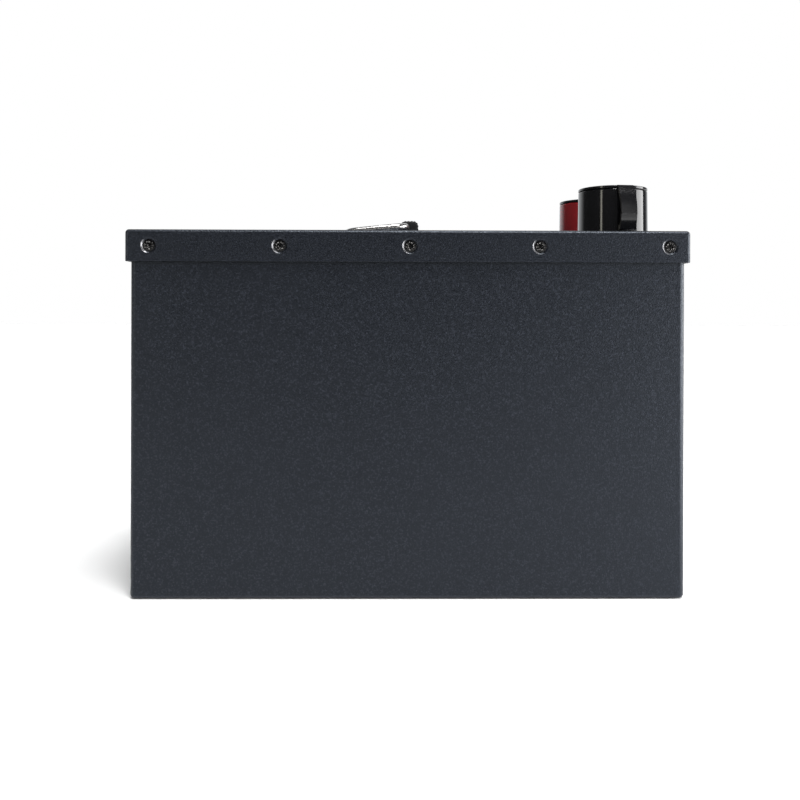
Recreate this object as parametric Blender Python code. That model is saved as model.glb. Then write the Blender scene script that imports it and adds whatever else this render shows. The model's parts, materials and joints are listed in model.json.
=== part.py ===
"""Battery pack in a folded-steel case: a screwed-on lid, a folding carrying handle and two covered terminals.

Units are metres and +Z is up. The origin is the centre of the case's underside; the terminals are at the
+X end and the long plain front faces -Y. Sizes are written in millimetres times MM.
"""

from math import cos, pi, radians, sin, sqrt, tan

import bmesh
import bpy
from mathutils import Matrix, Vector

MM = 0.001
GAP = 0.3 * MM  # clearance kept between pieces that touch

# Case
LID_WIDTH = 329 * MM
LID_DEPTH = 172 * MM
LID_TOP = 215 * MM
SHEET = 1.5 * MM
SKIRT_BOTTOM = 196.4 * MM
SKIRT_STANDOFF = 2.5 * MM  # the lid's skirt stands this far outside the tub
BEND = 2.2 * MM  # outside radius of the folded edges
LID_UNDERSIDE = LID_TOP - SHEET
TUB_WIDTH = LID_WIDTH - 2 * SKIRT_STANDOFF
TUB_DEPTH = LID_DEPTH - 2 * SKIRT_STANDOFF
TUB_TOP = LID_UNDERSIDE - 2.5 * MM
TUB_FLANGE = 5 * MM  # inward flange that carries the gasket

# Lid screws, M4 countersunk
SCREW_Z = 205.6 * MM
SCREW_PITCH = 75.8 * MM
SCREW_ROW_SHIFT = 1 * MM
SIDE_SCREW_Y = 55 * MM
SCREW_SINK = 0.8 * MM  # head top below the skirt's surface
SCREW_CONE_R = 4.6 * MM  # radius of the countersink at the surface
SCREW_CONE_SLOPE = 0.9  # radius lost per unit of depth
SCREW_SHANK_R = 1.9 * MM
SCREW_LENGTH = 10 * MM
SCREW_HOLE_R = 2.3 * MM
SCREW_RECESS = (4.4 * MM, 1 * MM, 1.1 * MM)  # length, width and depth of the cross recess
SCREW_DOME = 0.12 * MM
SCREW_RIM = 0.15 * MM  # depth of the head's upright rim

# Handle
HANDLE_X = -38 * MM
ROD_R = 2.25 * MM
HANDLE_Z = LID_TOP + GAP + ROD_R
HANDLE_SLOPE = radians(5.6)  # the folded bail rises to its grip, which rests on the lid
BAR_X = -1.2 * MM  # the bail's cross bar, folded down
BAIL_HALF_SPAN = 44 * MM
BAIL_BEND = 7 * MM
BAIL_END_Y = 3 * MM
BAR_Z = HANDLE_Z + (BAR_X - HANDLE_X) * tan(HANDLE_SLOPE)
GRIP_X = (-4.6 * MM, 6.8 * MM)
GRIP_Z = (LID_TOP + 0.4 * MM, LID_TOP + 10.3 * MM)
GRIP_LENGTH = 72 * MM
GRIP_CORNER = 2.6 * MM
SADDLE_LENGTH = 36 * MM
SADDLE_SHEET = 1 * MM
SADDLE_HALF_WIDTH = 14 * MM
HANDLE_SCREW_DX = 9.3 * MM
HANDLE_SCREW_DY = 12 * MM
HANDLE_SCREW_R = 1.5 * MM
HANDLE_HOLE_R = 1.9 * MM
HANDLE_RECESS = (3 * MM, 0.8 * MM, 1 * MM)
PAN_HEAD_TOP = 2 * MM
PAN_HEAD_R = 2.9 * MM
PLATE_SIZE = (40 * MM, 56 * MM, 2 * MM)  # backing plate under the lid
PLATE_CORNER = 3 * MM

# Terminals, heights above the lid
TERMINAL_X = 131 * MM
TERMINAL_Y = 33.5 * MM
TERMINAL_TURN = radians(6.5)  # the cover's strap is turned this far off square
SPIGOT_END = -SHEET - 2.5 * MM
BUSH_END = SPIGOT_END - 2 * MM
BUSH_R = 14 * MM
STUD_END = -20 * MM
STUD_TOP = 24 * MM
STUD_TIP = 0.6 * MM  # chamfer at the stud's top
COLLAR_R = 8 * MM
COLLAR_THICK = 2 * MM
WASHER_THICK = 1.4 * MM
NUT_FLATS = 13 * MM
NUT_THICK = 6.5 * MM
STUD_R = 4 * MM
STUD_HOLE_R = 4.4 * MM
FLANGE_R = 24.5 * MM
FLANGE_TOP = 2.3 * MM
FLANGE_EDGE = 0.5 * MM
BASE_RING_R = 19.2 * MM  # raised ring that the hood sits around
BASE_RING_TOP = 5 * MM
PEDESTAL_R = 8.5 * MM
PEDESTAL_TOP = 9 * MM
SPIGOT_R = 9 * MM
LID_HOLE_R = 9.4 * MM
HOOD_R_BOTTOM = 21.9 * MM
HOOD_R_TOP = 21.6 * MM
HOOD_WALL = 2 * MM
HOOD_TOP = 29 * MM
CAP_TOP = 31 * MM
STRAP_WIDTH = 10 * MM
STRAP_THICK = 1.8 * MM
STRAP_ARC_X = 5.7 * MM  # centre of the strap's bow, out from the terminal's axis
STRAP_ARC_Z = 14 * MM
STRAP_ARC_R = 23.9 * MM
HINGE_X = 27.8 * MM
HINGE_Z = 13 * MM
KNUCKLE_R = 1.8 * MM
KNUCKLE_SPLIT = 2.3 * MM  # half width of the cap's middle knuckle
PIN_R = 0.8 * MM
PIN_HOLE_R = 1.15 * MM
PIN_HALF = 4.8 * MM
CHAMFER = 1 * MM

# Cells
CELL_COUNT = 4
CELL_X = 52 * MM
CELL_Y = 156 * MM
CELL_Z = 172 * MM
CELL_PITCH = CELL_X + 0.5 * MM
CELL_BASE = 4.8 * MM
CELL_FIRST_X = -156.9 * MM + CELL_X / 2
CELL_POST_Y = 55 * MM
CELL_POST_R = 8 * MM
CELL_POST_TOP = CELL_BASE + CELL_Z + 3 * MM
BUSBAR_WIDTH = 20 * MM
BUSBAR_OVERHANG = 9 * MM  # past each post's centre
FOAM_MARGIN = 2 * MM
FOAM_HALF_Y = 38 * MM
FOAM_TOP = 207.5 * MM
LUG_THICK = 2 * MM
LUG_R = 8.5 * MM
LUG_TONGUE = 15 * MM  # from the eye's centre to the tongue's end
CRIMP = 11 * MM  # from the eye's centre to the cable's end
CABLE_R = 4 * MM
CABLE_LIFT = CABLE_R - 0.8 * MM  # the cable's centre line stands this far off its lug
DIVIDER_X = 53.9 * MM
DIVIDER_THICK = 2 * MM
DIVIDER_HALF_Y = 78 * MM
DIVIDER_Z = (2 * MM, 176 * MM)

# Protection board, seen from its component side
SINK_BACK = DIVIDER_X + 3 * MM
SINK_HALF_Y = 62 * MM
SINK_Z = (8 * MM, 150 * MM)
SINK_PLATE = 3 * MM
FIN_COUNT = 9
FIN_DEPTH = 9 * MM
FIN_THICK = 2.4 * MM
FIN_PITCH = 15.2 * MM
BOARD_X = 74 * MM
BOARD_THICK = 1.6 * MM
BOARD_Z = (12 * MM, 146 * MM)
BOARD_POST_Y = (-48 * MM, -22 * MM)  # where the two black leads are screwed on
BOARD_POST_Z = 128 * MM
BOARD_POST_R = 6 * MM
BOARD_POST_HEIGHT = 6 * MM
SWITCH_COUNT = 8
SWITCH_PITCH = 13 * MM
SWITCH_WIDTH = 10 * MM
SWITCH_Z = (60 * MM, 70 * MM)
SWITCH_HEIGHT = 6 * MM
CHIP = (9 * MM, 90 * MM, 100 * MM, 3 * MM)  # half width, low, high, height off the board
SOCKET = (36 * MM, 54 * MM, 112 * MM, 120 * MM, 8 * MM)  # y range, z range, height off the board


# ---------------------------------------------------------------- helpers


def material(name, colour, roughness, metallic=0.0):
    """A Principled material with one colour."""
    made = bpy.data.materials.new(name)
    made.use_nodes = True
    shader = made.node_tree.nodes["Principled BSDF"]
    shader.inputs["Base Color"].default_value = (*colour, 1.0)
    shader.inputs["Roughness"].default_value = roughness
    shader.inputs["Metallic"].default_value = metallic
    return made


def mesh_object(name, bm):
    """Turn a bmesh into a named object with outward faces and sharp edges kept sharp."""
    bmesh.ops.remove_doubles(bm, verts=bm.verts, dist=1e-7)
    bmesh.ops.recalc_face_normals(bm, faces=bm.faces)
    mesh = bpy.data.meshes.new(name)
    bm.to_mesh(mesh)
    bm.free()
    mesh.shade_smooth()
    mesh.set_sharp_from_angle(angle=radians(30))
    obj = bpy.data.objects.new(name, mesh)
    bpy.context.scene.collection.objects.link(obj)
    return obj


def empty(name, location, turn=0.0):
    """A parent for pieces that share a place, turned about Z."""
    obj = bpy.data.objects.new(name, None)
    obj.location = location
    obj.rotation_euler = (0, 0, turn)
    obj.empty_display_size = 0.02
    bpy.context.scene.collection.objects.link(obj)
    return obj


def place(obj, look, parent=None, location=(0, 0, 0), rotation=(0, 0, 0)):
    """Give an object its material, parent and place."""
    obj.data.materials.clear()
    obj.data.materials.append(look)
    obj.parent = parent
    obj.location = location
    obj.rotation_euler = rotation
    return obj


def bridge(bm, rings, closed=False):
    """Join rings of equal length with quads; a ring of one vertex is a pole."""
    pairs = list(zip(rings, rings[1:]))
    if closed:
        pairs.append((rings[-1], rings[0]))
    for low, high in pairs:
        count = max(len(low), len(high))
        for i in range(count):
            j = (i + 1) % count
            corners = [low[i % len(low)], low[j % len(low)], high[j % len(high)], high[i % len(high)]]
            distinct = list(dict.fromkeys(corners))
            bm.faces.new(distinct)


def lathe(name, profile, segments=32, closed=False):
    """Turn a profile of (radius, height) about Z; radius 0 makes a pole, closed makes a ring."""
    bm = bmesh.new()
    rings = []
    for radius, height in profile:
        count = segments if radius > 0 else 1
        angles = [2 * pi * i / count for i in range(count)]
        rings.append([bm.verts.new((radius * cos(a), radius * sin(a), height)) for a in angles])
    bridge(bm, rings, closed)
    return mesh_object(name, bm)


def cylinder(name, radius, low, high, segments=16):
    """A plain upright cylinder."""
    return lathe(name, [(0, low), (radius, low), (radius, high), (0, high)], segments)


def arc(centre, radius, start, end, steps):
    """Points on an arc between two angles, both ends included."""
    angles = [start + (end - start) * i / steps for i in range(steps + 1)]
    return [(centre[0] + radius * cos(a), centre[1] + radius * sin(a)) for a in angles]


def rounded_rect(width, depth, radius, steps=3):
    """Outline of a rectangle with round corners, centred on the origin."""
    x, y = width / 2 - radius, depth / 2 - radius
    corners = [(x, y, 0), (-x, y, pi / 2), (-x, -y, pi), (x, -y, 1.5 * pi)]
    return [point for cx, cy, a in corners for point in arc((cx, cy), radius, a, a + pi / 2, steps)]


def prism(name, outline, low, high, plane="XY"):
    """Extrude an outline along the axis across its plane."""
    bm = bmesh.new()
    spots = {"XY": lambda a, b, c: (a, b, c), "XZ": lambda a, b, c: (a, c, b)}
    rings = [[bm.verts.new(spots[plane](a, b, level)) for a, b in outline] for level in (low, high)]
    bridge(bm, rings)
    bm.faces.new(rings[0])
    bm.faces.new(rings[1])
    return mesh_object(name, bm)


def block(name, low, high):
    """A box between two corners."""
    outline = [(low[0], low[1]), (high[0], low[1]), (high[0], high[1]), (low[0], high[1])]
    return prism(name, outline, low[2], high[2])


def shell(name, width, depth, corner, profile):
    """Stack rounded rectangles, each inset from the full size, into one closed skin.

    profile holds (inset, height); its first and last rings are closed with flat faces."""
    bm = bmesh.new()
    rings = []
    for inset, height in profile:
        outline = rounded_rect(width - 2 * inset, depth - 2 * inset, max(corner - inset, 0.4 * MM))
        rings.append([bm.verts.new((x, y, height)) for x, y in outline])
    bridge(bm, rings)
    bm.faces.new(rings[0])
    bm.faces.new(rings[-1])
    return mesh_object(name, bm)


def boolean(target, tools, operation):
    """Cut or join other objects into the target's mesh, then drop them."""
    for tool in tools:
        modifier = target.modifiers.new(tool.name, "BOOLEAN")
        modifier.operation = operation
        modifier.solver = "EXACT"
        modifier.object = tool
    bpy.context.view_layer.update()
    graph = bpy.context.evaluated_depsgraph_get()
    mesh = bpy.data.meshes.new_from_object(target.evaluated_get(graph))
    target.modifiers.clear()
    target.data = mesh
    for tool in tools:
        bpy.data.objects.remove(tool)
    mesh.set_sharp_from_angle(angle=radians(30))
    return target


def moved(obj, matrix):
    """Move a mesh within its object."""
    obj.data.transform(matrix)
    return obj


def tube(name, path, radius, sides):
    """A round tube with flat ends along a path."""
    bm = bmesh.new()
    rings = []
    up = Vector((0, 0, 1))
    for i, point in enumerate(path):
        ahead = path[min(i + 1, len(path) - 1)] - path[max(i - 1, 0)]
        ahead.normalize()
        side = ahead.cross(up).normalized()
        rise = side.cross(ahead)
        angles = [2 * pi * k / sides for k in range(sides)]
        rings.append([bm.verts.new(point + radius * (cos(a) * side + sin(a) * rise)) for a in angles])
    bridge(bm, rings)
    bm.faces.new(rings[0])
    bm.faces.new(rings[-1])
    return mesh_object(name, bm)


def smooth_path(points, steps=3):
    """A Catmull-Rom curve through the points."""
    points = [Vector(p) for p in points]
    padded = [2 * points[0] - points[1], *points, 2 * points[-1] - points[-2]]
    path = []
    for a, b, c, d in zip(padded, padded[1:], padded[2:], padded[3:]):
        for i in range(steps):
            t = i / steps
            square = (2 * a - 5 * b + 4 * c - d) * t**2
            cube = (3 * b - a - 3 * c + d) * t**3
            path.append(0.5 * (2 * b + (c - a) * t + square + cube))
    path.append(points[-1])
    return path


# ---------------------------------------------------------------- case


def screw_places():
    """(location, turn about Z) of each lid screw, for a screw whose axis points out of the skirt."""
    columns = [SCREW_ROW_SHIFT + SCREW_PITCH * (i - 2) for i in range(5)]
    front = [((x, -LID_DEPTH / 2, SCREW_Z), 0.0) for x in columns]
    back = [((x, LID_DEPTH / 2, SCREW_Z), pi) for x in columns]
    right = [((LID_WIDTH / 2, y, SCREW_Z), pi / 2) for y in (-SIDE_SCREW_Y, SIDE_SCREW_Y)]
    left = [((-LID_WIDTH / 2, y, SCREW_Z), -pi / 2) for y in (-SIDE_SCREW_Y, SIDE_SCREW_Y)]
    return front + back + right + left


def outward(location, turn):
    """Matrix that stands a +Z axis along the skirt's outward normal."""
    return Matrix.Translation(location) @ Matrix.Rotation(turn, 4, "Z") @ Matrix.Rotation(pi / 2, 4, "X")


def tub(look):
    """Folded box with an inward top flange and a hole for each lid screw."""
    bottom = [(BEND - x, BEND + z) for x, z in arc((0, 0), BEND, -pi / 2, 0, 2)]
    profile = [*bottom, (0, TUB_TOP - SHEET), (0.5 * SHEET, TUB_TOP), (TUB_FLANGE, TUB_TOP)]
    profile += [(TUB_FLANGE, TUB_TOP - SHEET), (SHEET, TUB_TOP - SHEET), (SHEET, SHEET)]
    obj = shell("case_tub", TUB_WIDTH, TUB_DEPTH, BEND, profile)
    holes = []
    low, high = -SKIRT_STANDOFF - 2 * SHEET, -SKIRT_STANDOFF + SHEET / 2
    for i, (location, turn) in enumerate(screw_places()):
        hole = cylinder(f"hole_{i}", SCREW_HOLE_R, low, high, 12)
        holes.append(moved(hole, outward(location, turn)))
    return place(boolean(obj, holes, "DIFFERENCE"), look)


def lid(look):
    """Shallow folded lid, countersunk for its screws and bored for the terminals and the handle."""
    top = [(BEND - x, LID_TOP - BEND + z) for x, z in arc((0, 0), BEND, pi / 2, 0, 2)]
    profile = [*top, (0, SKIRT_BOTTOM), (SHEET, SKIRT_BOTTOM), (SHEET, LID_UNDERSIDE)]
    obj = shell("lid", LID_WIDTH, LID_DEPTH, BEND, profile)
    tools = []
    over = 0.2 * MM
    for i, (location, turn) in enumerate(screw_places()):
        deep = SHEET + over
        cone = [
            (0, -deep),
            (SCREW_CONE_R - SCREW_CONE_SLOPE * deep, -deep),
            (SCREW_CONE_R + SCREW_CONE_SLOPE * over, over),
            (0, over),
        ]
        tools.append(moved(lathe(f"sink_{i}", cone, 16), outward(location, turn)))
    for i, y in enumerate((-TERMINAL_Y, TERMINAL_Y)):
        bore = cylinder(f"bore_{i}", LID_HOLE_R, LID_UNDERSIDE - over, LID_TOP + over, 24)
        tools.append(moved(bore, Matrix.Translation((TERMINAL_X, y, 0))))
    for i, (x, y) in enumerate(handle_screw_places()):
        bore = cylinder(f"handle_bore_{i}", HANDLE_HOLE_R, LID_UNDERSIDE - over, LID_TOP + over, 12)
        tools.append(moved(bore, Matrix.Translation((x, y, 0))))
    return place(boolean(obj, tools, "DIFFERENCE"), look)


def gasket(look):
    """Rubber seal on the tub's flange."""
    half_x, half_y = TUB_WIDTH / 2 - 1 * MM, TUB_DEPTH / 2 - 1 * MM
    width = 3.5 * MM
    levels = (TUB_TOP + GAP, LID_UNDERSIDE - GAP)
    bm = bmesh.new()
    outer = rounded_rect(2 * half_x, 2 * half_y, 4 * MM)
    inner = rounded_rect(2 * (half_x - width), 2 * (half_y - width), 1 * MM)
    order = [(outer, levels[0]), (outer, levels[1]), (inner, levels[1]), (inner, levels[0])]
    rings = [[bm.verts.new((x, y, z)) for x, y in outline] for outline, z in order]
    bridge(bm, rings, closed=True)
    return place(mesh_object("lid_gasket", bm), look)


def cross_cutter(name, length, width, depth, top):
    """Cross-recess cutter whose top is at the given height."""
    a, b = length / 2, width / 2
    quarter = [(a, -b), (a, b), (b, b)]
    turns = [pi / 2 * i for i in range(4)]
    outline = [(x * cos(t) - y * sin(t), x * sin(t) + y * cos(t)) for t in turns for x, y in quarter]
    return prism(name, outline, top - depth, top + 1 * MM)


def lid_screws(look):
    """Black countersunk screws, one object each, sharing one mesh."""
    head_r = SCREW_CONE_R - SCREW_CONE_SLOPE * (SCREW_SINK + SCREW_RIM) - GAP
    cone_end = SCREW_SINK + SCREW_RIM + (head_r - SCREW_SHANK_R) / SCREW_CONE_SLOPE
    profile = [
        (0, SCREW_DOME - SCREW_SINK),
        (head_r - 0.2 * MM, -SCREW_SINK),
        (head_r, -SCREW_SINK - SCREW_RIM),
        (SCREW_SHANK_R, -cone_end),
        (SCREW_SHANK_R, -SCREW_LENGTH),
        (0, -SCREW_LENGTH),
    ]
    pattern = lathe("screw_pattern", profile, 12)
    boolean(pattern, [cross_cutter("recess", *SCREW_RECESS, -SCREW_SINK)], "DIFFERENCE")
    groups = ["front"] * 5 + ["back"] * 5 + ["right"] * 2 + ["left"] * 2
    for i, ((location, turn), group) in enumerate(zip(screw_places(), groups)):
        number = i - groups.index(group) + 1
        obj = bpy.data.objects.new(f"lid_screw_{group}_{number}", pattern.data)
        bpy.context.scene.collection.objects.link(obj)
        place(obj, look, None, location, (pi / 2, 0, turn))
    bpy.data.objects.remove(pattern)


# ---------------------------------------------------------------- handle


def handle_screw_places():
    """(x, y) of the four screws that hold the saddle."""
    across, along = (-HANDLE_SCREW_DX, HANDLE_SCREW_DX), (-HANDLE_SCREW_DY, HANDLE_SCREW_DY)
    return [(HANDLE_X + dx, dy) for dx in across for dy in along]


def handle_saddle(look):
    """Pressed plate whose half-round channel holds both turned-in ends of the bail."""
    inner, outer = ROD_R + 0.35 * MM, ROD_R + 0.35 * MM + SADDLE_SHEET
    low = LID_TOP + GAP
    top = low + SADDLE_SHEET
    left, right = HANDLE_X - SADDLE_HALF_WIDTH, HANDLE_X + SADDLE_HALF_WIDTH
    outline = [(left, low), (HANDLE_X - inner, low), *arc((HANDLE_X, HANDLE_Z), inner, pi, 0, 8)]
    outline += [(HANDLE_X + inner, low), (right, low), (right, top), (HANDLE_X + outer, top)]
    outline += [*arc((HANDLE_X, HANDLE_Z), outer, 0, pi, 8), (HANDLE_X - outer, top), (left, top)]
    obj = prism("handle_saddle", outline, -SADDLE_LENGTH / 2, SADDLE_LENGTH / 2, "XZ")
    return place(boolean(obj, handle_holes(low - 1 * MM, top + 1 * MM), "DIFFERENCE"), look)


def handle_holes(low, high):
    """Cutters for the four handle screws."""
    holes = []
    for i, (x, y) in enumerate(handle_screw_places()):
        hole = cylinder(f"handle_hole_{i}", HANDLE_HOLE_R, low, high, 12)
        holes.append(moved(hole, Matrix.Translation((x, y, 0))))
    return holes


def handle_backing_plate(look):
    """Steel plate under the lid that spreads the handle's load."""
    width, depth, thick = PLATE_SIZE
    low, high = LID_UNDERSIDE - GAP - thick, LID_UNDERSIDE - GAP
    obj = prism("handle_backing_plate", rounded_rect(width, depth, PLATE_CORNER, 2), low, high)
    moved(obj, Matrix.Translation((HANDLE_X, 0, 0)))
    return place(boolean(obj, handle_holes(low - 1 * MM, high + 1 * MM), "DIFFERENCE"), look)


def handle_screws(look):
    """Pan-head screws through the saddle, lid and backing plate."""
    seat = LID_TOP + GAP + SADDLE_SHEET + GAP
    tip = LID_UNDERSIDE - 5 * MM - seat
    head = [(0, PAN_HEAD_TOP), (1.6 * MM, 1.85 * MM), (2.7 * MM, 1.1 * MM), (PAN_HEAD_R, 0)]
    pattern = lathe("handle_screw_pattern", [*head, (HANDLE_SCREW_R, 0), (HANDLE_SCREW_R, tip), (0, tip)], 12)
    boolean(pattern, [cross_cutter("recess", *HANDLE_RECESS, PAN_HEAD_TOP)], "DIFFERENCE")
    for i, (x, y) in enumerate(handle_screw_places()):
        obj = bpy.data.objects.new(f"handle_screw_{i + 1}", pattern.data)
        bpy.context.scene.collection.objects.link(obj)
        place(obj, look, None, (x, y, seat))
    bpy.data.objects.remove(pattern)


def bail_path():
    """Centre line of the bail about its hinge: two turned-in ends, two legs and a cross bar."""
    reach = (BAR_X - HANDLE_X) / cos(HANDLE_SLOPE)
    half, r = BAIL_HALF_SPAN, BAIL_BEND
    flat = [(0, -BAIL_END_Y), *arc((r, r - half), r, pi, 1.5 * pi, 4)]
    flat += arc((reach - r, r - half), r, 1.5 * pi, 2 * pi, 4)
    flat += arc((reach - r, half - r), r, 0, 0.5 * pi, 4)
    flat += [*arc((r, half - r), r, 0.5 * pi, pi, 4), (0, BAIL_END_Y)]
    return [Vector((u * cos(HANDLE_SLOPE), y, u * sin(HANDLE_SLOPE))) for u, y in flat]


def handle(bail_look, grip_look):
    """Bail and grip, both placed about the hinge line."""
    hinge = empty("handle_hinge", (HANDLE_X, 0, HANDLE_Z))
    place(tube("handle_bail", bail_path(), ROD_R, 12), bail_look, hinge)
    x0, x1 = GRIP_X[0] - HANDLE_X, GRIP_X[1] - HANDLE_X
    z0, z1 = GRIP_Z[0] - HANDLE_Z, GRIP_Z[1] - HANDLE_Z
    outline = [((x0 + x1) / 2 + x, (z0 + z1) / 2 + z) for x, z in rounded_rect(x1 - x0, z1 - z0, GRIP_CORNER)]
    grip = prism("handle_grip", outline, -GRIP_LENGTH / 2, GRIP_LENGTH / 2, "XZ")
    bore = cylinder("grip_bore", ROD_R + 0.4 * MM, -GRIP_LENGTH, GRIP_LENGTH, 16)
    moved(bore, Matrix.Translation((BAR_X - HANDLE_X, 0, BAR_Z - HANDLE_Z)) @ Matrix.Rotation(pi / 2, 4, "X"))
    place(boolean(grip, [bore], "DIFFERENCE"), grip_look, hinge)


# ---------------------------------------------------------------- terminals


def bow(height, inset=0.0):
    """Distance from the terminal's axis to the strap's bowed face at a height above the lid."""
    radius = STRAP_ARC_R - inset
    return STRAP_ARC_X + sqrt(radius**2 - (height - STRAP_ARC_Z) ** 2)


def bowed_face(low, high, inset, steps=6):
    """Points up the strap's face from one height to another."""
    heights = [low + (high - low) * i / steps for i in range(steps + 1)]
    return [(bow(z, inset), z) for z in heights]


def knuckle(name, low, high):
    """Barrel of the cover's hinge between two places along the hinge."""
    barrel = cylinder(name, KNUCKLE_R, low, high, 16)
    return moved(barrel, Matrix.Translation((HINGE_X, 0, HINGE_Z)) @ Matrix.Rotation(-pi / 2, 4, "X"))


def pin_bore():
    """Cutter for the hinge pin's hole."""
    bore = cylinder("pin_bore", PIN_HOLE_R, -STRAP_WIDTH, STRAP_WIDTH, 12)
    return moved(bore, Matrix.Translation((HINGE_X, 0, HINGE_Z)) @ Matrix.Rotation(-pi / 2, 4, "X"))


def tongue(name, low_y, high_y, low_z, high_z):
    """Web between the strap and a knuckle, flush with the strap."""
    inner = bow(HINGE_Z, STRAP_THICK)
    outer = bow(HINGE_Z) - 0.15 * MM
    return block(name, (inner, low_y, low_z), (outer, high_y, high_z))


def terminal_hood(name):
    """Round hood, open above and below, with the lower half of the strap on its side."""
    low = FLANGE_TOP + GAP
    edge = 0.8 * MM
    inner = HOOD_R_TOP - HOOD_WALL
    rounding = arc((HOOD_R_TOP - edge, HOOD_TOP - edge), edge, 0, pi / 2, 2)
    hood = lathe(name, [(inner, low), (HOOD_R_BOTTOM, low), *rounding, (inner, HOOD_TOP)], 40, closed=True)
    half = STRAP_WIDTH / 2
    end = HINGE_Z - KNUCKLE_R - GAP
    root = HOOD_R_TOP - HOOD_WALL / 2
    foot = low + 3 * MM
    strap = [(root, low), *bowed_face(low, end - CHAMFER, 0), (bow(end) - CHAMFER, end)]
    strap += [*reversed(bowed_face(foot, end, STRAP_THICK)), (root, foot)]
    split = KNUCKLE_SPLIT + GAP
    parts = [prism("strap", strap, -half, half, "XZ")]
    for i, (a, b) in enumerate(((-half, -split), (split, half))):
        parts.append(tongue(f"tongue_{i}", a, b, end - 0.5 * MM, HINGE_Z))
        parts.append(knuckle(f"knuckle_{i}", a, b))
    boolean(hood, parts, "UNION")
    return boolean(hood, [pin_bore()], "DIFFERENCE")


def terminal_cap(name):
    """Flat cap with the upper half of the strap, built about the hinge pin."""
    low, edge = HOOD_TOP + GAP, 0.4 * MM
    rim = HOOD_R_TOP
    cap = lathe(name, [(0, low), (rim, low), (rim, CAP_TOP - edge), (rim - edge, CAP_TOP), (0, CAP_TOP)], 40)
    half = STRAP_WIDTH / 2
    end = HINGE_Z + KNUCKLE_R + GAP
    root = rim - 3 * MM
    under, over = low + 0.1 * MM, CAP_TOP - 0.1 * MM
    shoulder = CAP_TOP - 0.3 * MM
    strap = [(root, under), *reversed(bowed_face(end, under, STRAP_THICK)), (bow(end) - CHAMFER, end)]
    strap += [*bowed_face(end + CHAMFER, CAP_TOP - 1 * MM, 0), (bow(shoulder) - 0.1 * MM, shoulder)]
    strap += [(bow(CAP_TOP) - 0.8 * MM, over), (root, over)]
    parts = [prism("strap", strap, -half, half, "XZ")]
    parts.append(tongue("tongue", -KNUCKLE_SPLIT, KNUCKLE_SPLIT, HINGE_Z, end + 0.5 * MM))
    parts.append(knuckle("knuckle", -KNUCKLE_SPLIT, KNUCKLE_SPLIT))
    boolean(cap, parts, "UNION")
    boolean(cap, [pin_bore()], "DIFFERENCE")
    return moved(cap, Matrix.Translation((-HINGE_X, 0, -HINGE_Z)))


def hexagon(across_flats):
    """Hexagon outline with the given distance across its flats."""
    radius = across_flats / (2 * cos(pi / 6))
    return arc((0, 0), radius, 0, 5 * pi / 3, 5)


def hex_nut(name, low):
    """M8 nut whose lower face is at the given height."""
    high = low + NUT_THICK
    nut = prism(name, hexagon(NUT_FLATS), low, high)
    return boolean(nut, [cylinder("nut_bore", STUD_HOLE_R, low - 1 * MM, high + 1 * MM, 16)], "DIFFERENCE")


def ring(name, inner, outer, low, high, segments=20):
    """A flat ring."""
    return lathe(name, [(inner, low), (outer, low), (outer, high), (inner, high)], segments, closed=True)


def terminal(prefix, y, turn, looks):
    """Every piece of one terminal, about a point on the lid's top."""
    home = empty(f"{prefix}_terminal_centre", (TERMINAL_X, y, LID_TOP), turn)
    base = [(STUD_HOLE_R, SPIGOT_END), (SPIGOT_R, SPIGOT_END), (SPIGOT_R, GAP), (FLANGE_R, GAP)]
    base += [(FLANGE_R, FLANGE_TOP - FLANGE_EDGE), (FLANGE_R - FLANGE_EDGE, FLANGE_TOP)]
    base += [(BASE_RING_R, FLANGE_TOP), (BASE_RING_R, BASE_RING_TOP), (PEDESTAL_R, BASE_RING_TOP)]
    base += [(PEDESTAL_R, PEDESTAL_TOP), (STUD_HOLE_R, PEDESTAL_TOP)]
    place(lathe(f"{prefix}_terminal_base", base, 28, closed=True), looks["base"], home)

    collar = PEDESTAL_TOP + GAP
    seat = collar + COLLAR_THICK
    stud = [(0, STUD_END), (STUD_R, STUD_END), (STUD_R, collar), (COLLAR_R, collar), (COLLAR_R, seat)]
    stud += [(STUD_R, seat), (STUD_R, STUD_TOP - STUD_TIP), (STUD_R - STUD_TIP, STUD_TOP), (0, STUD_TOP)]
    place(lathe(f"{prefix}_terminal_stud", stud, 16), looks["brass"], home)

    washer = seat + GAP
    flat_ring = ring(f"{prefix}_terminal_washer", STUD_HOLE_R, COLLAR_R, washer, washer + WASHER_THICK)
    place(flat_ring, looks["steel"], home)
    place(hex_nut(f"{prefix}_terminal_nut", washer + WASHER_THICK + GAP), looks["steel"], home)

    bush = [(STUD_HOLE_R, BUSH_END), (BUSH_R, BUSH_END), (BUSH_R, -SHEET - GAP), (LID_HOLE_R, -SHEET - GAP)]
    bush += [(LID_HOLE_R, SPIGOT_END - GAP), (STUD_HOLE_R, SPIGOT_END - GAP)]
    place(lathe(f"{prefix}_terminal_inner_bush", bush, 16, closed=True), looks["base"], home)
    inner_nut = BUSH_END - 2 * GAP - LUG_THICK - NUT_THICK
    place(hex_nut(f"{prefix}_terminal_inner_nut", inner_nut), looks["steel"], home)

    place(terminal_hood(f"{prefix}_terminal_hood"), looks["hood"], home)
    hinge = (HINGE_X, 0, HINGE_Z)
    place(terminal_cap(f"{prefix}_terminal_cap"), looks["cap"], home, hinge)
    pin = cylinder(f"{prefix}_cap_hinge_pin", PIN_R, -PIN_HALF, PIN_HALF, 10)
    place(pin, looks["steel"], home, hinge, (-pi / 2, 0, 0))


# ---------------------------------------------------------------- inside


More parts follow.
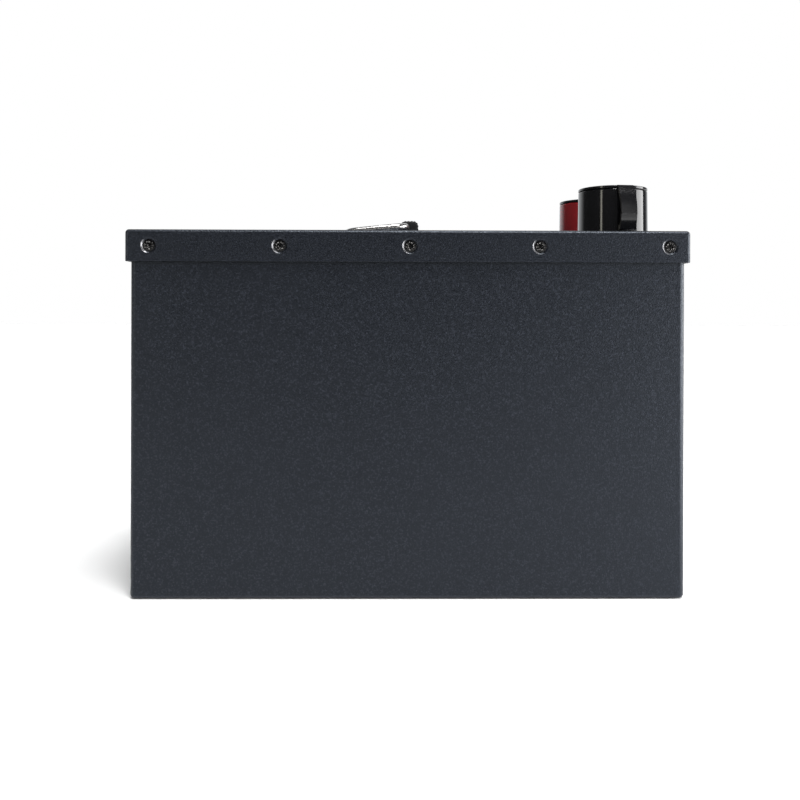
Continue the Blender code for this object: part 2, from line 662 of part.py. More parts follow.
def cells(look):
    """Prismatic cells in a row, each a can with two posts."""
    can = prism("cell_pattern", rounded_rect(CELL_X, CELL_Y, 2.5 * MM, 2), CELL_BASE, CELL_BASE + CELL_Z)
    posts = []
    for i, y in enumerate((-CELL_POST_Y, CELL_POST_Y)):
        post = cylinder(f"post_{i}", CELL_POST_R, CELL_BASE + CELL_Z - 1 * MM, CELL_POST_TOP, 16)
        posts.append(moved(post, Matrix.Translation((0, y, 0))))
    boolean(can, posts, "UNION")
    for i in range(CELL_COUNT):
        obj = bpy.data.objects.new(f"cell_{i + 1}", can.data)
        bpy.context.scene.collection.objects.link(obj)
        place(obj, look, None, (CELL_FIRST_X + i * CELL_PITCH, 0, 0))
    bpy.data.objects.remove(can)


def busbars(look):
    """Copper links that join the cells in series, on alternate sides."""
    for i in range(CELL_COUNT - 1):
        side = 1 if i % 2 == 0 else -1
        outline = rounded_rect(CELL_PITCH + 2 * BUSBAR_OVERHANG, BUSBAR_WIDTH, 6 * MM, 3)
        bar = prism(f"busbar_{i + 1}", outline, CELL_POST_TOP + GAP, CELL_POST_TOP + GAP + LUG_THICK)
        place(bar, look, None, (CELL_FIRST_X + (i + 0.5) * CELL_PITCH, side * CELL_POST_Y, 0))


def packing(foam, board):
    """Foam under and over the cells, and the divider beside them."""
    left = CELL_FIRST_X - CELL_X / 2
    right = left + CELL_PITCH * (CELL_COUNT - 1) + CELL_X
    pad = block("cell_base_pad", (left, -CELL_Y / 2, SHEET + GAP), (right, CELL_Y / 2, CELL_BASE - GAP))
    place(pad, foam)
    low = (left + FOAM_MARGIN, -FOAM_HALF_Y, CELL_BASE + CELL_Z + GAP)
    place(block("cell_top_foam", low, (right - FOAM_MARGIN, FOAM_HALF_Y, FOAM_TOP)), foam)
    low = (DIVIDER_X - DIVIDER_THICK / 2, -DIVIDER_HALF_Y, DIVIDER_Z[0])
    high = (DIVIDER_X + DIVIDER_THICK / 2, DIVIDER_HALF_Y, DIVIDER_Z[1])
    place(block("divider_plate", low, high), board)


def heat_sink(look):
    """Aluminium plate with upright fins towards the divider."""
    root = SINK_BACK + FIN_DEPTH
    front = root + SINK_PLATE
    outline = [(front, -SINK_HALF_Y), (front, SINK_HALF_Y), (root, SINK_HALF_Y)]
    for i in range(FIN_COUNT):
        y = SINK_HALF_Y - i * FIN_PITCH
        outline += [(SINK_BACK, y), (SINK_BACK, y - FIN_THICK), (root, y - FIN_THICK)]
        if i < FIN_COUNT - 1:
            outline.append((root, y - FIN_PITCH))
    place(prism("bms_heat_sink", outline, *SINK_Z), look)


def protection_board(look):
    """Battery management board with its switches, chip, socket and two screw posts."""
    low, high = (BOARD_X, -SINK_HALF_Y, BOARD_Z[0]), (BOARD_X + BOARD_THICK, SINK_HALF_Y, BOARD_Z[1])
    board = block("bms_board", low, high)
    root = BOARD_X + 1 * MM  # parts start inside the board
    parts = []
    for i in range(SWITCH_COUNT):
        y = (i - (SWITCH_COUNT - 1) / 2) * SWITCH_PITCH
        low = (root, y - SWITCH_WIDTH / 2, SWITCH_Z[0])
        high = (BOARD_X + SWITCH_HEIGHT, y + SWITCH_WIDTH / 2, SWITCH_Z[1])
        parts.append(block(f"switch_{i}", low, high))
    half, low_z, high_z, height = CHIP
    parts.append(block("chip", (root, -half, low_z), (BOARD_X + height, half, high_z)))
    low_y, high_y, low_z, high_z, height = SOCKET
    parts.append(block("socket", (root, low_y, low_z), (BOARD_X + height, high_y, high_z)))
    for i, y in enumerate(BOARD_POST_Y):
        post = cylinder(f"post_{i}", BOARD_POST_R, root, BOARD_X + BOARD_POST_HEIGHT, 16)
        parts.append(moved(post, Matrix.Translation((0, y, BOARD_POST_Z)) @ Matrix.Rotation(pi / 2, 4, "Y")))
    place(boolean(board, parts, "UNION"), look)


def lead(name, route, ends, look):
    """A cable along the route, with a tongued ring lug at each end.

    ends holds each lug's (centre, turn, axis): its tongue points along +X before that turn."""
    cable = tube(name, smooth_path(route), CABLE_R, 8)
    for i, (centre, turn, axis) in enumerate(ends):
        placed = Matrix.Translation(centre) @ Matrix.Rotation(turn, 4, axis)
        flat = rounded_rect(LUG_TONGUE + LUG_R, 2 * LUG_R, LUG_R - GAP)
        outline = [(x + (LUG_TONGUE - LUG_R) / 2, y) for x, y in flat]
        lug = prism(f"lug_{i}", outline, -LUG_THICK / 2, LUG_THICK / 2)
        boolean(cable, [moved(lug, placed)], "UNION")
        bore = cylinder(f"eye_{i}", STUD_HOLE_R, -LUG_THICK, LUG_THICK, 16)
        boolean(cable, [moved(bore, placed)], "DIFFERENCE")
    return place(cable, look)


def leads(black, red):
    """Cables between the cells, the protection board and the terminals."""
    lug_level = CELL_POST_TOP + GAP + LUG_THICK / 2
    stud_level = LID_TOP + BUSH_END - GAP - LUG_THICK / 2
    first = Vector((CELL_FIRST_X, -CELL_POST_Y, lug_level))
    last = first + Vector(((CELL_COUNT - 1) * CELL_PITCH, 0, 0))
    board_face = BOARD_X + BOARD_POST_HEIGHT + GAP + LUG_THICK / 2
    board_in, board_out = (Vector((board_face, y, BOARD_POST_Z)) for y in BOARD_POST_Y)
    black_stud = Vector((TERMINAL_X, -TERMINAL_Y, stud_level))
    red_stud = Vector((TERMINAL_X, TERMINAL_Y, stud_level))
    above = Vector((CRIMP, 0, CABLE_LIFT))
    beside = Vector((CABLE_LIFT, 0, CRIMP))
    below = Vector((-CRIMP, 0, -CABLE_LIFT))
    along = Vector((8 * MM, 0, 0))
    upward = Vector((0, 0, 10 * MM))

    route = [first + above, first + above + along, (-90 * MM, -66 * MM, 192 * MM)]
    route += [(-40 * MM, -71 * MM, 195 * MM), (20 * MM, -71 * MM, 195 * MM)]
    route += [(64 * MM, -64 * MM, 189 * MM), (82 * MM, -52 * MM, 160 * MM)]
    route += [board_in + beside + upward, board_in + beside]
    lead("negative_lead", route, [(first, 0, "Z"), (board_in, -pi / 2, "Y")], black)
    route = [board_out + beside, board_out + beside + upward, (88 * MM, -24 * MM, 178 * MM)]
    route += [(100 * MM, -31 * MM, 196 * MM), black_stud + below - along, black_stud + below]
    lead("output_lead", route, [(board_out, -pi / 2, "Y"), (black_stud, pi, "Z")], black)
    route = [last + above, last + above + along, (68 * MM, -36 * MM, 194 * MM), (88 * MM, 4 * MM, 199 * MM)]
    route += [(102 * MM, 28 * MM, 202 * MM), red_stud + below - along, red_stud + below]
    lead("positive_lead", route, [(last, 0, "Z"), (red_stud, pi, "Z")], red)


# ---------------------------------------------------------------- assembly


def main():
    for obj in list(bpy.data.objects):
        bpy.data.objects.remove(obj)
    powder = material("dark_powder_coat", (0.032, 0.035, 0.042), 0.55)
    black_screw = material("black_screw", (0.01, 0.01, 0.012), 0.35, 0.6)
    chrome = material("chrome_rod", (0.8, 0.8, 0.8), 0.12, 1.0)
    zinc = material("zinc_steel", (0.6, 0.6, 0.62), 0.35, 1.0)
    brass = material("brass", (0.72, 0.55, 0.26), 0.3, 1.0)
    copper = material("copper", (0.72, 0.4, 0.26), 0.35, 1.0)
    gloss_black = material("gloss_black_plastic", (0.012, 0.012, 0.014), 0.12)
    gloss_red = material("gloss_red_plastic", (0.38, 0.02, 0.025), 0.15)
    cap_black = material("cap_black_plastic", (0.012, 0.012, 0.014), 0.25)
    grip_black = material("grip_black_rubber", (0.015, 0.015, 0.015), 0.6)
    foam = material("grey_foam", (0.12, 0.12, 0.13), 0.95)
    rubber = material("gasket_rubber", (0.03, 0.03, 0.03), 0.8)
    cell_blue = material("cell_wrap", (0.02, 0.08, 0.25), 0.4)
    laminate = material("laminate_green", (0.03, 0.16, 0.07), 0.45)
    aluminium = material("aluminium", (0.75, 0.75, 0.76), 0.4, 1.0)
    cable_black = material("cable_black", (0.02, 0.02, 0.02), 0.5)
    cable_red = material("cable_red", (0.4, 0.02, 0.02), 0.5)

    tub(powder)
    lid(powder)
    gasket(rubber)
    lid_screws(black_screw)

    handle_saddle(zinc)
    handle_backing_plate(zinc)
    handle_screws(zinc)
    handle(chrome, grip_black)

    shared = {"base": gloss_black, "brass": brass, "steel": zinc, "cap": cap_black}
    strap_turn = TERMINAL_TURN - pi / 2
    terminal("black", -TERMINAL_Y, strap_turn, {**shared, "hood": gloss_black})
    terminal("red", TERMINAL_Y, strap_turn + pi, {**shared, "hood": gloss_red})

    cells(cell_blue)
    busbars(copper)
    packing(foam, laminate)
    heat_sink(aluminium)
    protection_board(laminate)
    leads(cable_black, cable_red)


main()
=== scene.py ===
import json
from math import asin, cos, pi, radians, sin

import bmesh
import bpy
from mathutils import Matrix, Vector

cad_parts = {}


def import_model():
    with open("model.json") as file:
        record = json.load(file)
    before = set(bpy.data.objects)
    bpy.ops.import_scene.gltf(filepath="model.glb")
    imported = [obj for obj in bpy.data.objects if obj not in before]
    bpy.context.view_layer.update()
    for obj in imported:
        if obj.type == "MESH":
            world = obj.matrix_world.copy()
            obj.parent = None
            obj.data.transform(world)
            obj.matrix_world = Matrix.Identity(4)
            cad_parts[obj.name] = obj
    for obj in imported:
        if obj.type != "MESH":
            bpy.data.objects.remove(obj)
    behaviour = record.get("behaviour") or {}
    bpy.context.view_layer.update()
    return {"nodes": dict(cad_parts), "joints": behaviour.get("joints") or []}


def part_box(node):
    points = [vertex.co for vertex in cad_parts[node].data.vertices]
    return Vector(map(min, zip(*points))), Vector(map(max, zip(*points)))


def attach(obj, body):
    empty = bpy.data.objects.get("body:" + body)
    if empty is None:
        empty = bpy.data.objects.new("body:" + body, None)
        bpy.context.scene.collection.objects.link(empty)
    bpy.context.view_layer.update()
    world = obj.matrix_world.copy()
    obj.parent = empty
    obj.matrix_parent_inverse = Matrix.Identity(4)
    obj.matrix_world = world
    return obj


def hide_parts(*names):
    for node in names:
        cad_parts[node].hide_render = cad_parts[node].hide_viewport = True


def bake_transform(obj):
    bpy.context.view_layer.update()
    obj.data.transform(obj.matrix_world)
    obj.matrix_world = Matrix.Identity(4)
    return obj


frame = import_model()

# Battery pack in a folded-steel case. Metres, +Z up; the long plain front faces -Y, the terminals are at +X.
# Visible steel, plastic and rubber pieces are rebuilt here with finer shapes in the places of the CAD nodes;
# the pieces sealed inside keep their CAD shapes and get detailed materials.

MM = 0.001

# Camera: in front of the long side, a little below the lid, turned and rolled a fraction of a degree
LENS = 40.68
SHIFT = (-0.0087, -0.1089)
CAMERA_DISTANCE = 0.6105
CAMERA_HEIGHT = 0.1668
CAMERA_SWING = radians(0.6)
CAMERA_ROLL = radians(0.15)

SHARP_EDGE = 32  # degrees between faces where smooth shading stops

# Sockets of a colour mix node
MIX_FACTOR, MIX_A, MIX_B, MIX_RESULT = 0, 6, 7, 2

# Case
SHEET = 1.5 * MM
BEND = 2.2 * MM  # outside radius of the folded edges
TUB_CORNER = 3.4 * MM  # outside radius of the tub's upright edges
FLANGE = 5 * MM  # the tub's inward top flange
HEM = 0.35 * MM  # rounding of a cut sheet edge
SKIRT_SHADOW_START = 0.4 * MM  # painted shadow: a near-black line on the tub, down from the skirt's edge, where the skirt shades it
SKIRT_SHADOW_END = 2.2 * MM

# Lid screws
HEAD_R = 3.55 * MM
HEAD_SINK = 0.8 * MM  # head top below the skirt's surface
SINK_R = 4.75 * MM  # countersink at the surface
SINK_SLOPE = 0.9  # radius lost per unit of depth
# Side of each countersink's lip that gets the painted highlight, where the light catches it.
GLINT_SIDE = Vector((-0.26, 0.97))  # in a screw's own frame, where +X is up and +Y is to the left
SHANK_R = 1.9 * MM
SHANK_END = 10 * MM
SHANK_PITCH = 0.7 * MM

# Handle
ROD_R = 2.25 * MM
BAIL_HALF_SPAN = 44 * MM
BAIL_BEND = 7 * MM
BAIL_END_Y = 3 * MM
GRIP_CORNER = 3.3 * MM
FLUTE_COUNT = 18
FLUTE_DEPTH = 0.3 * MM
SADDLE_SHEET = 1 * MM
SADDLE_CORNER = 3 * MM
HANDLE_SCREWS = [f"handle_screw_{i + 1}" for i in range(4)]
HANDLE_HOLE_R = 1.9 * MM

# Terminals, heights above the lid
FLANGE_R = 24.5 * MM
FLANGE_TOP = 2.3 * MM
BASE_RING_R = 19.2 * MM
BASE_RING_TOP = 5 * MM
PEDESTAL_R = 8.5 * MM
PEDESTAL_TOP = 9 * MM
SPIGOT_R = 9 * MM
SPIGOT_END = -4 * MM
STUD_R = 4 * MM
STUD_HOLE_R = 4.4 * MM
STUD_TOP = 24 * MM
STUD_END = -20 * MM
COLLAR_R = 8 * MM
COLLAR_Z = (9.3 * MM, 11.3 * MM)
THREAD_PITCH = 1.25 * MM
THREAD_DEPTH = 0.55 * MM
WASHER_Z = (11.6 * MM, 13.0 * MM)
NUT_Z = (13.3 * MM, 19.8 * MM)
NUT_FLATS = 13 * MM
HOOD_LOW = 2.6 * MM
HOOD_TOP = 29 * MM
HOOD_R_BOTTOM = 21.9 * MM
HOOD_R_TOP = 21.6 * MM
HOOD_WALL = 2 * MM
CAP_LOW = 29.3 * MM
CAP_TOP = 31 * MM
STRAP_WIDTH = 10 * MM
STRAP_THICK = 1.8 * MM
STRAP_EDGE = 0.35 * MM
STRAP_ARC_X = 5.7 * MM  # centre of the strap's bow, out from the terminal's axis
STRAP_ARC_Z = 14 * MM
STRAP_ARC_R = 23.9 * MM
STRAP_SHOULDER = 1.5 * MM
HINGE_X = 27.8 * MM
HINGE_Z = 13 * MM
FOLD_HALF = 0.35 * MM  # half height of the thin raised line across the strap
FOLD_RISE = 0.22 * MM
BEND_HALF = 6 * MM  # two points this far either side of the hinge are worked out, but nothing uses them


# ---------------------------------------------------------------- camera, floor and light


def look_along(obj, place, target):
    """Put an object at a place with its -Z axis towards a target."""
    obj.location = place
    obj.rotation_euler = (Vector(target) - Vector(place)).to_track_quat("-Z", "Y").to_euler()


def camera():
    """Camera that looks level; the lens is shifted instead of tilted."""
    data = bpy.data.cameras.new("camera")
    data.sensor_width = 36
    data.lens = LENS
    data.shift_x, data.shift_y = SHIFT
    data.clip_start = 0.01
    obj = bpy.data.objects.new("camera", data)
    across, back = -CAMERA_DISTANCE * sin(CAMERA_SWING), -CAMERA_DISTANCE * cos(CAMERA_SWING)
    obj.location = (across, back, CAMERA_HEIGHT)
    obj.rotation_euler = (pi / 2, -CAMERA_ROLL, -CAMERA_SWING)
    bpy.context.scene.collection.objects.link(obj)
    bpy.context.scene.camera = obj


def panel(name, place, target, width, height, radiance, colour=(1, 1, 1)):
    """Rectangular softbox whose strength is given as its brightness."""
    data = bpy.data.lights.new(name, "AREA")
    data.shape = "RECTANGLE"
    data.size = width
    data.size_y = height
    data.color = colour
    data.energy = radiance * width * height * pi
    obj = bpy.data.objects.new(name, data)
    look_along(obj, place, target)
    obj.visible_camera = False
    bpy.context.scene.collection.objects.link(obj)


def lights():
    """High front key, softboxes at the right, a dim card that the straps reflect and a strip at the left."""
    data = bpy.data.lights.new("key", "SUN")
    data.energy = 3.1
    data.angle = radians(20)
    sun = bpy.data.objects.new("key", data)
    look_along(sun, (0.15, -0.42, 1.25), (0, 0, 0))
    bpy.context.scene.collection.objects.link(sun)
    middle = (0.131, 0, 0.2)
    panel("right_softbox", (1.3, -0.08, 0.45), middle, 0.7, 1.0, 8)
    panel("right_front_softbox", (0.84, -0.57, 0.08), (0.1, 0, 0.1), 0.45, 0.4, 12)
    panel("front_card", (0.56, -1.17, 0.75), (0.131, -0.05, 0.235), 0.32, 1.3, 0.9)
    panel("left_strip", (-1.0, -0.98, 0.35), middle, 0.14, 1.0, 4.5, (1, 0.97, 0.84))


def world():
    """White backdrop; the room it lights with is dim except behind the object."""
    made = bpy.data.worlds.new("room")
    made.use_nodes = True
    tree = made.node_tree
    tree.nodes.clear()
    out = tree.nodes.new("ShaderNodeOutputWorld")
    shown, lighting = tree.nodes.new("ShaderNodeBackground"), tree.nodes.new("ShaderNodeBackground")
    shown.inputs["Color"].default_value = (1, 1, 1, 1)
    lighting.inputs["Color"].default_value = (0.96, 0.98, 1, 1)
    where = tree.nodes.new("ShaderNodeTexCoord")
    parts = tree.nodes.new("ShaderNodeSeparateXYZ")
    strength = tree.nodes.new("ShaderNodeMapRange")
    strength.interpolation_type = "SMOOTHSTEP"
    for name, value in (("From Min", 0.48), ("From Max", 0.85), ("To Min", 0.1), ("To Max", 1.15)):
        strength.inputs[name].default_value = value
    path = tree.nodes.new("ShaderNodeLightPath")
    mix = tree.nodes.new("ShaderNodeMixShader")
    tree.links.new(where.outputs["Generated"], parts.inputs[0])
    tree.links.new(parts.outputs["Y"], strength.inputs["Value"])
    tree.links.new(strength.outputs["Result"], lighting.inputs["Strength"])
    tree.links.new(path.outputs["Is Camera Ray"], mix.inputs["Fac"])
    tree.links.new(lighting.outputs[0], mix.inputs[1])
    tree.links.new(shown.outputs[0], mix.inputs[2])
    tree.links.new(mix.outputs[0], out.inputs["Surface"])
    bpy.context.scene.world = made


def floor():
    """Pale floor under the case."""
    bm = bmesh.new()
    half, level = 12, -0.3 * MM
    corners = [(-half, -half), (half, -half), (half, half), (-half, half)]
    bm.faces.new([bm.verts.new((x, y, level)) for x, y in corners])
    mesh = bpy.data.meshes.new("floor")
    bm.to_mesh(mesh)
    bm.free()
    obj = bpy.data.objects.new("floor", mesh)
    bpy.context.scene.collection.objects.link(obj)
    made = bpy.data.materials.new("pale_floor")
    made.use_nodes = True
    shader = made.node_tree.nodes["Principled BSDF"]
    shader.inputs["Base Color"].default_value = (0.92, 0.92, 0.92, 1)
    shader.inputs["Roughness"].default_value = 0.9
    shader.inputs["Specular IOR Level"].default_value = 0.1
    mesh.materials.append(made)


# ---------------------------------------------------------------- materials


class Look:
    """Node tree of one procedural material, built up in layers over object coordinates."""

    def __init__(self, name, colour, roughness, metallic=0.0, specular=0.5, coat=0.0):
        self.material = bpy.data.materials.new(name)
        self.material.use_nodes = True
        self.tree = self.material.node_tree
        self.shader = self.tree.nodes["Principled BSDF"]
        self.shader.inputs["Base Color"].default_value = (*colour, 1)
        self.shader.inputs["Roughness"].default_value = roughness
        self.shader.inputs["Metallic"].default_value = metallic
        self.shader.inputs["Specular IOR Level"].default_value = specular
        self.shader.inputs["Coat Weight"].default_value = coat
        self.colour = None
        self.normal = None
        self.coordinates = self.node("ShaderNodeTexCoord").outputs["Object"]

    def node(self, kind, **settings):
        """New node with some of its inputs or properties set."""
        made = self.tree.nodes.new(kind)
        for name, value in settings.items():
            if name in made.inputs:
                made.inputs[name].default_value = value
            else:
                setattr(made, name, value)
        return made

    def link(self, output, socket):
        self.tree.links.new(output, socket)

    def stretched(self, scale):
        """Object coordinates scaled unevenly, for brushed or drawn marks."""
        mapping = self.node("ShaderNodeMapping")
        mapping.inputs["Scale"].default_value = scale
        self.link(self.coordinates, mapping.inputs["Vector"])
        return mapping.outputs["Vector"]

    def noise(self, scale, detail=2.0, where=None):
        made = self.node("ShaderNodeTexNoise", Scale=scale, Detail=detail, Roughness=0.55)
        self.link(where or self.coordinates, made.inputs["Vector"])
        return made.outputs["Fac"]

    def cells(self, scale):
        made = self.node("ShaderNodeTexVoronoi", Scale=scale)
        self.link(self.coordinates, made.inputs["Vector"])
        return made.outputs["Distance"]

    def ranged(self, value, low, high, out_low, out_high):
        made = self.node("ShaderNodeMapRange")
        names = ("From Min", "From Max", "To Min", "To Max")
        for name, number in zip(names, (low, high, out_low, out_high)):
            made.inputs[name].default_value = number
        self.link(value, made.inputs["Value"])
        return made.outputs["Result"]

    def tint(self, factor, colour, low=0.35, high=0.65, most=1.0):
        """Mix another colour in where the factor is high."""
        mix = self.node("ShaderNodeMix", data_type="RGBA")
        base = self.shader.inputs["Base Color"]
        if self.colour is None:
            mix.inputs[MIX_A].default_value = base.default_value
        else:
            self.link(self.colour, mix.inputs[MIX_A])
        mix.inputs[MIX_B].default_value = (*colour, 1)
        self.link(self.ranged(factor, low, high, 0, most), mix.inputs[MIX_FACTOR])
        self.colour = mix.outputs[MIX_RESULT]
        self.link(self.colour, base)
        return self

    def rough(self, factor, low_value, high_value, low=0.35, high=0.65):
        """Let the roughness follow a pattern."""
        self.link(self.ranged(factor, low, high, low_value, high_value), self.shader.inputs["Roughness"])
        return self

    def bump(self, height, depth, strength=1.0):
        """Add a bump layer; depth is in metres."""
        made = self.node("ShaderNodeBump", Strength=strength, Distance=depth)
        self.link(height, made.inputs["Height"])
        if self.normal is not None:
            self.link(self.normal, made.inputs["Normal"])
        self.normal = made.outputs["Normal"]
        self.link(self.normal, self.shader.inputs["Normal"])
        return self

    def worn(self, colour, most):
        """Lighten the folded edges, patchily, where the mesh's wear attribute is high."""
        attribute = self.node("ShaderNodeAttribute", attribute_name="wear")
        patchy = self.node("ShaderNodeMath", operation="MULTIPLY")
        self.link(attribute.outputs["Fac"], patchy.inputs[0])
        self.link(self.ranged(self.noise(160, 3), 0.35, 0.7, 0.4, 1), patchy.inputs[1])
        return self.tint(patchy.outputs[0], colour, 0, 1, most)


def powder_coat(name):
    """Fine-textured dark blue-grey powder coat on steel, with a painted highlight as lighter bare metal on
    the lower left of the countersinks' pressed lips and a painted shadow just under the lid's skirt.
    """
    look = Look(name, (0.0028, 0.0034, 0.0057), 0.36, specular=0.4)
    look.shader.inputs["Specular Tint"].default_value = (0.78, 0.87, 1, 1)
    look.tint(look.noise(1000, 3), (0.024, 0.0268, 0.0365), 0.49, 0.72)
    look.tint(look.noise(9, 2), (0.0088, 0.01, 0.0142), 0.35, 0.75, 0.35)
    look.tint(look.cells(1500), (0.002, 0.0024, 0.0036), 0.45, 0.85, 0.7)
    look.worn((0.045, 0.05, 0.062), 0.45)
    # Painted shadow: the tub turns near black in a thin band just under the lid's skirt, where the skirt's
    # shade falls.
    painted_skirt_shadow = look.node("ShaderNodeAttribute", attribute_name="painted_skirt_shadow").outputs["Fac"]
    look.tint(painted_skirt_shadow, (0.0008, 0.0008, 0.001), 0, 1, 0.95)
    # Painted highlight: lighter bare metal on the lower left of each countersink's lip, where the light
    # catches it.
    painted_glint_lip = look.node("ShaderNodeAttribute", attribute_name="painted_glint_lip").outputs["Fac"]
    look.tint(painted_glint_lip, (0.22, 0.22, 0.23), 0.2, 0.8)
    look.link(look.ranged(painted_glint_lip, 0.2, 0.8, 0, 1), look.shader.inputs["Metallic"])
    look.rough(look.noise(420, 2), 0.29, 0.42)
    look.bump(look.noise(1150, 2.5), 0.19 * MM, 1.0)
    look.bump(look.noise(260, 2), 0.12 * MM, 0.3)
    return look.material


def metal(name, colour, roughness, scratch=(1, 1, 1), tarnish=0.8, relief=0.35):
    """Metal with fine directional marks and a faint uneven film."""
    look = Look(name, colour, roughness, metallic=1.0)
    marks = look.noise(900, 2, look.stretched(scratch))
    look.tint(look.noise(130, 3), tuple(c * tarnish for c in colour), 0.4, 0.75)
    look.tint(marks, tuple(min(1, c * 1.12) for c in colour), 0.5, 0.8, 0.5)
    look.rough(marks, roughness * 0.85, roughness * (1.5 if relief else 1.15))
    if relief:
        look.bump(marks, 0.015 * MM, relief)
    return look.material


def black_screw(name):
    """Black oxide with the bright rubbed spots that a driver leaves in the cross."""
    look = Look(name, (0.003, 0.003, 0.0035), 0.3, specular=0.2)
    look.tint(look.noise(700, 3), (0.006, 0.006, 0.007), 0.4, 0.7)
    attribute = look.node("ShaderNodeAttribute", attribute_name="wear")
    rubbed = look.node("ShaderNodeMath", operation="MULTIPLY")
    look.link(attribute.outputs["Fac"], rubbed.inputs[0])
    look.link(look.ranged(look.noise(1300, 2), 0.56, 0.64, 0, 1), rubbed.inputs[1])
    look.tint(rubbed.outputs[0], (0.42, 0.41, 0.4), 0, 1, 0.9)
    look.rough(look.noise(600, 2), 0.22, 0.36)
    look.bump(look.noise(1600, 2), 0.03 * MM, 0.4)
    return look.material


def glossy_plastic(name, colour, deeper, roughness):
    """Moulded plastic with a high gloss, faint flow marks and hairline scratches."""
    look = Look(name, colour, roughness, specular=0.5)
    look.tint(look.noise(60, 2, look.stretched((1, 1, 0.2))), deeper, 0.35, 0.7)
    hairs = look.noise(500, 2, look.stretched((1, 1, 9)))
    look.rough(hairs, roughness, roughness * 2.2, 0.5, 0.75)
    look.bump(look.noise(110, 1.5), 0.02 * MM, 0.35)
    return look.material


def pebbled(name, colour, lighter, roughness, scale, depth):
    """Rubber or foam with a small closed grain."""
    look = Look(name, colour, roughness, specular=0.35)
    look.tint(look.noise(scale * 0.25, 3), lighter, 0.35, 0.7)
    look.rough(look.noise(scale * 0.5, 2), roughness * 0.85, min(1, roughness * 1.15))
    look.bump(look.cells(scale), depth, 0.6)
    return look.material


def wrapped(name, colour, lighter, roughness, scale):
    """Thin plastic sleeve with soft ripples."""
    look = Look(name, colour, roughness, coat=0.15)
    look.tint(look.noise(scale, 2), lighter, 0.35, 0.7)
    look.rough(look.noise(scale * 3, 2), roughness * 0.8, roughness * 1.3)
    look.bump(look.noise(scale * 1.5, 2), 0.2 * MM, 0.4)
    return look.material


def laminate(name):
    """Green circuit laminate with faint copper pours under the mask."""
    look = Look(name, (0.015, 0.11, 0.045), 0.35)
    traces = look.node("ShaderNodeTexBrick", Scale=90.0)
    look.link(look.stretched((1, 1, 1)), traces.inputs["Vector"])
    look.tint(traces.outputs["Fac"], (0.03, 0.19, 0.08), 0.2, 0.8, 0.8)
    look.tint(look.noise(300, 3), (0.01, 0.08, 0.035), 0.45, 0.75, 0.6)
    look.bump(traces.outputs["Fac"], 0.05 * MM, 0.4)
    return look.material


def looks():
    """Every material, by the name of its slot."""
    black, deep, red = (0.003, 0.003, 0.0038), (0.006, 0.006, 0.007), (0.37, 0.02, 0.026)
    recipes = {
        "powder_coat": (powder_coat,),
        "gasket_rubber": (pebbled, (0.02, 0.02, 0.02), (0.035, 0.035, 0.035), 0.75, 900, 0.06 * MM),
        "black_screw": (black_screw,),
        "zinc_steel": (metal, (0.6, 0.61, 0.63), 0.3, (0.2, 1, 1), 0.75),
        "chrome_rod": (metal, (0.7, 0.685, 0.67), 0.24, (0.15, 1, 0.15), 0.95, 0),
        "grip_rubber": (pebbled, (0.003, 0.003, 0.0034), (0.007, 0.007, 0.0075), 0.5, 1300, 0.05 * MM),
        "terminal_base_plastic": (glossy_plastic, (0.01, 0.01, 0.011), (0.016, 0.016, 0.017), 0.28),
        "brass": (metal, (0.72, 0.53, 0.24), 0.25, (1, 1, 0.2), 0.8),
        "cap_plastic": (glossy_plastic, black, deep, 0.13),
        "black_hood_plastic": (glossy_plastic, black, deep, 0.07),
        "red_hood_plastic": (glossy_plastic, red, (0.29, 0.013, 0.018), 0.1),
        "cell_wrap": (wrapped, (0.012, 0.07, 0.26), (0.02, 0.1, 0.34), 0.35, 40),
        "copper": (metal, (0.75, 0.4, 0.26), 0.28, (0.2, 1, 1), 0.7),
        "foam": (pebbled, (0.08, 0.08, 0.085), (0.12, 0.12, 0.125), 0.95, 420, 0.4 * MM),
        "laminate": (laminate,),
        "aluminium": (metal, (0.72, 0.73, 0.74), 0.38, (1, 1, 0.15), 0.85),
        "black_cable": (wrapped, (0.012, 0.012, 0.013), (0.02, 0.02, 0.021), 0.45, 160),
        "red_cable": (wrapped, (0.32, 0.012, 0.012), (0.4, 0.02, 0.02), 0.45, 160),
    }
    return {name: make(name, *values) for name, (make, *values) in recipes.items()}


# ---------------------------------------------------------------- mesh helpers


def mesh_object(name, bm, sharp=SHARP_EDGE):
    """Turn a bmesh into an object with outward faces, smooth except across sharp edges."""
    bmesh.ops.remove_doubles(bm, verts=bm.verts, dist=1e-7)
    bmesh.ops.recalc_face_normals(bm, faces=bm.faces)
    mesh = bpy.data.meshes.new(name)
    bm.to_mesh(mesh)
    bm.free()
    mesh.shade_smooth()
    mesh.set_sharp_from_angle(angle=radians(sharp))
    obj = bpy.data.objects.new(name, mesh)
    bpy.context.scene.collection.objects.link(obj)
    return obj


def bridge(bm, rings, closed=False):
    """Join rings with quads; a ring of one vertex is a pole."""
    pairs = list(zip(rings, rings[1:]))
    if closed:
        pairs.append((rings[-1], rings[0]))
    for low, high in pairs:
        count = max(len(low), len(high))
        for i in range(count):
            j = (i + 1) % count
            corners = [low[i % len(low)], low[j % len(low)], high[j % len(high)], high[i % len(high)]]
            bm.faces.new(list(dict.fromkeys(corners)))


def lathe(name, profile, segments=96, closed=False):
    """Turn a profile of (radius, height) about Z; radius 0 makes a pole, closed makes a ring."""
    bm = bmesh.new()
    rings = []
    for radius, height in profile:
        count = segments if radius > 0 else 1
        angles = [2 * pi * i / count for i in range(count)]
        rings.append([bm.verts.new((radius * cos(a), radius * sin(a), height)) for a in angles])
    bridge(bm, rings, closed)
    return mesh_object(name, bm)


def cylinder(name, radius, low, high, segments=48):
    return lathe(name, [(0, low), (radius, low), (radius, high), (0, high)], segments)


def arc(centre, radius, start, end, steps):
    """Points on an arc between two angles, both ends included."""
    angles = [start + (end - start) * i / steps for i in range(steps + 1)]
    return [(centre[0] + radius * cos(a), centre[1] + radius * sin(a)) for a in angles]


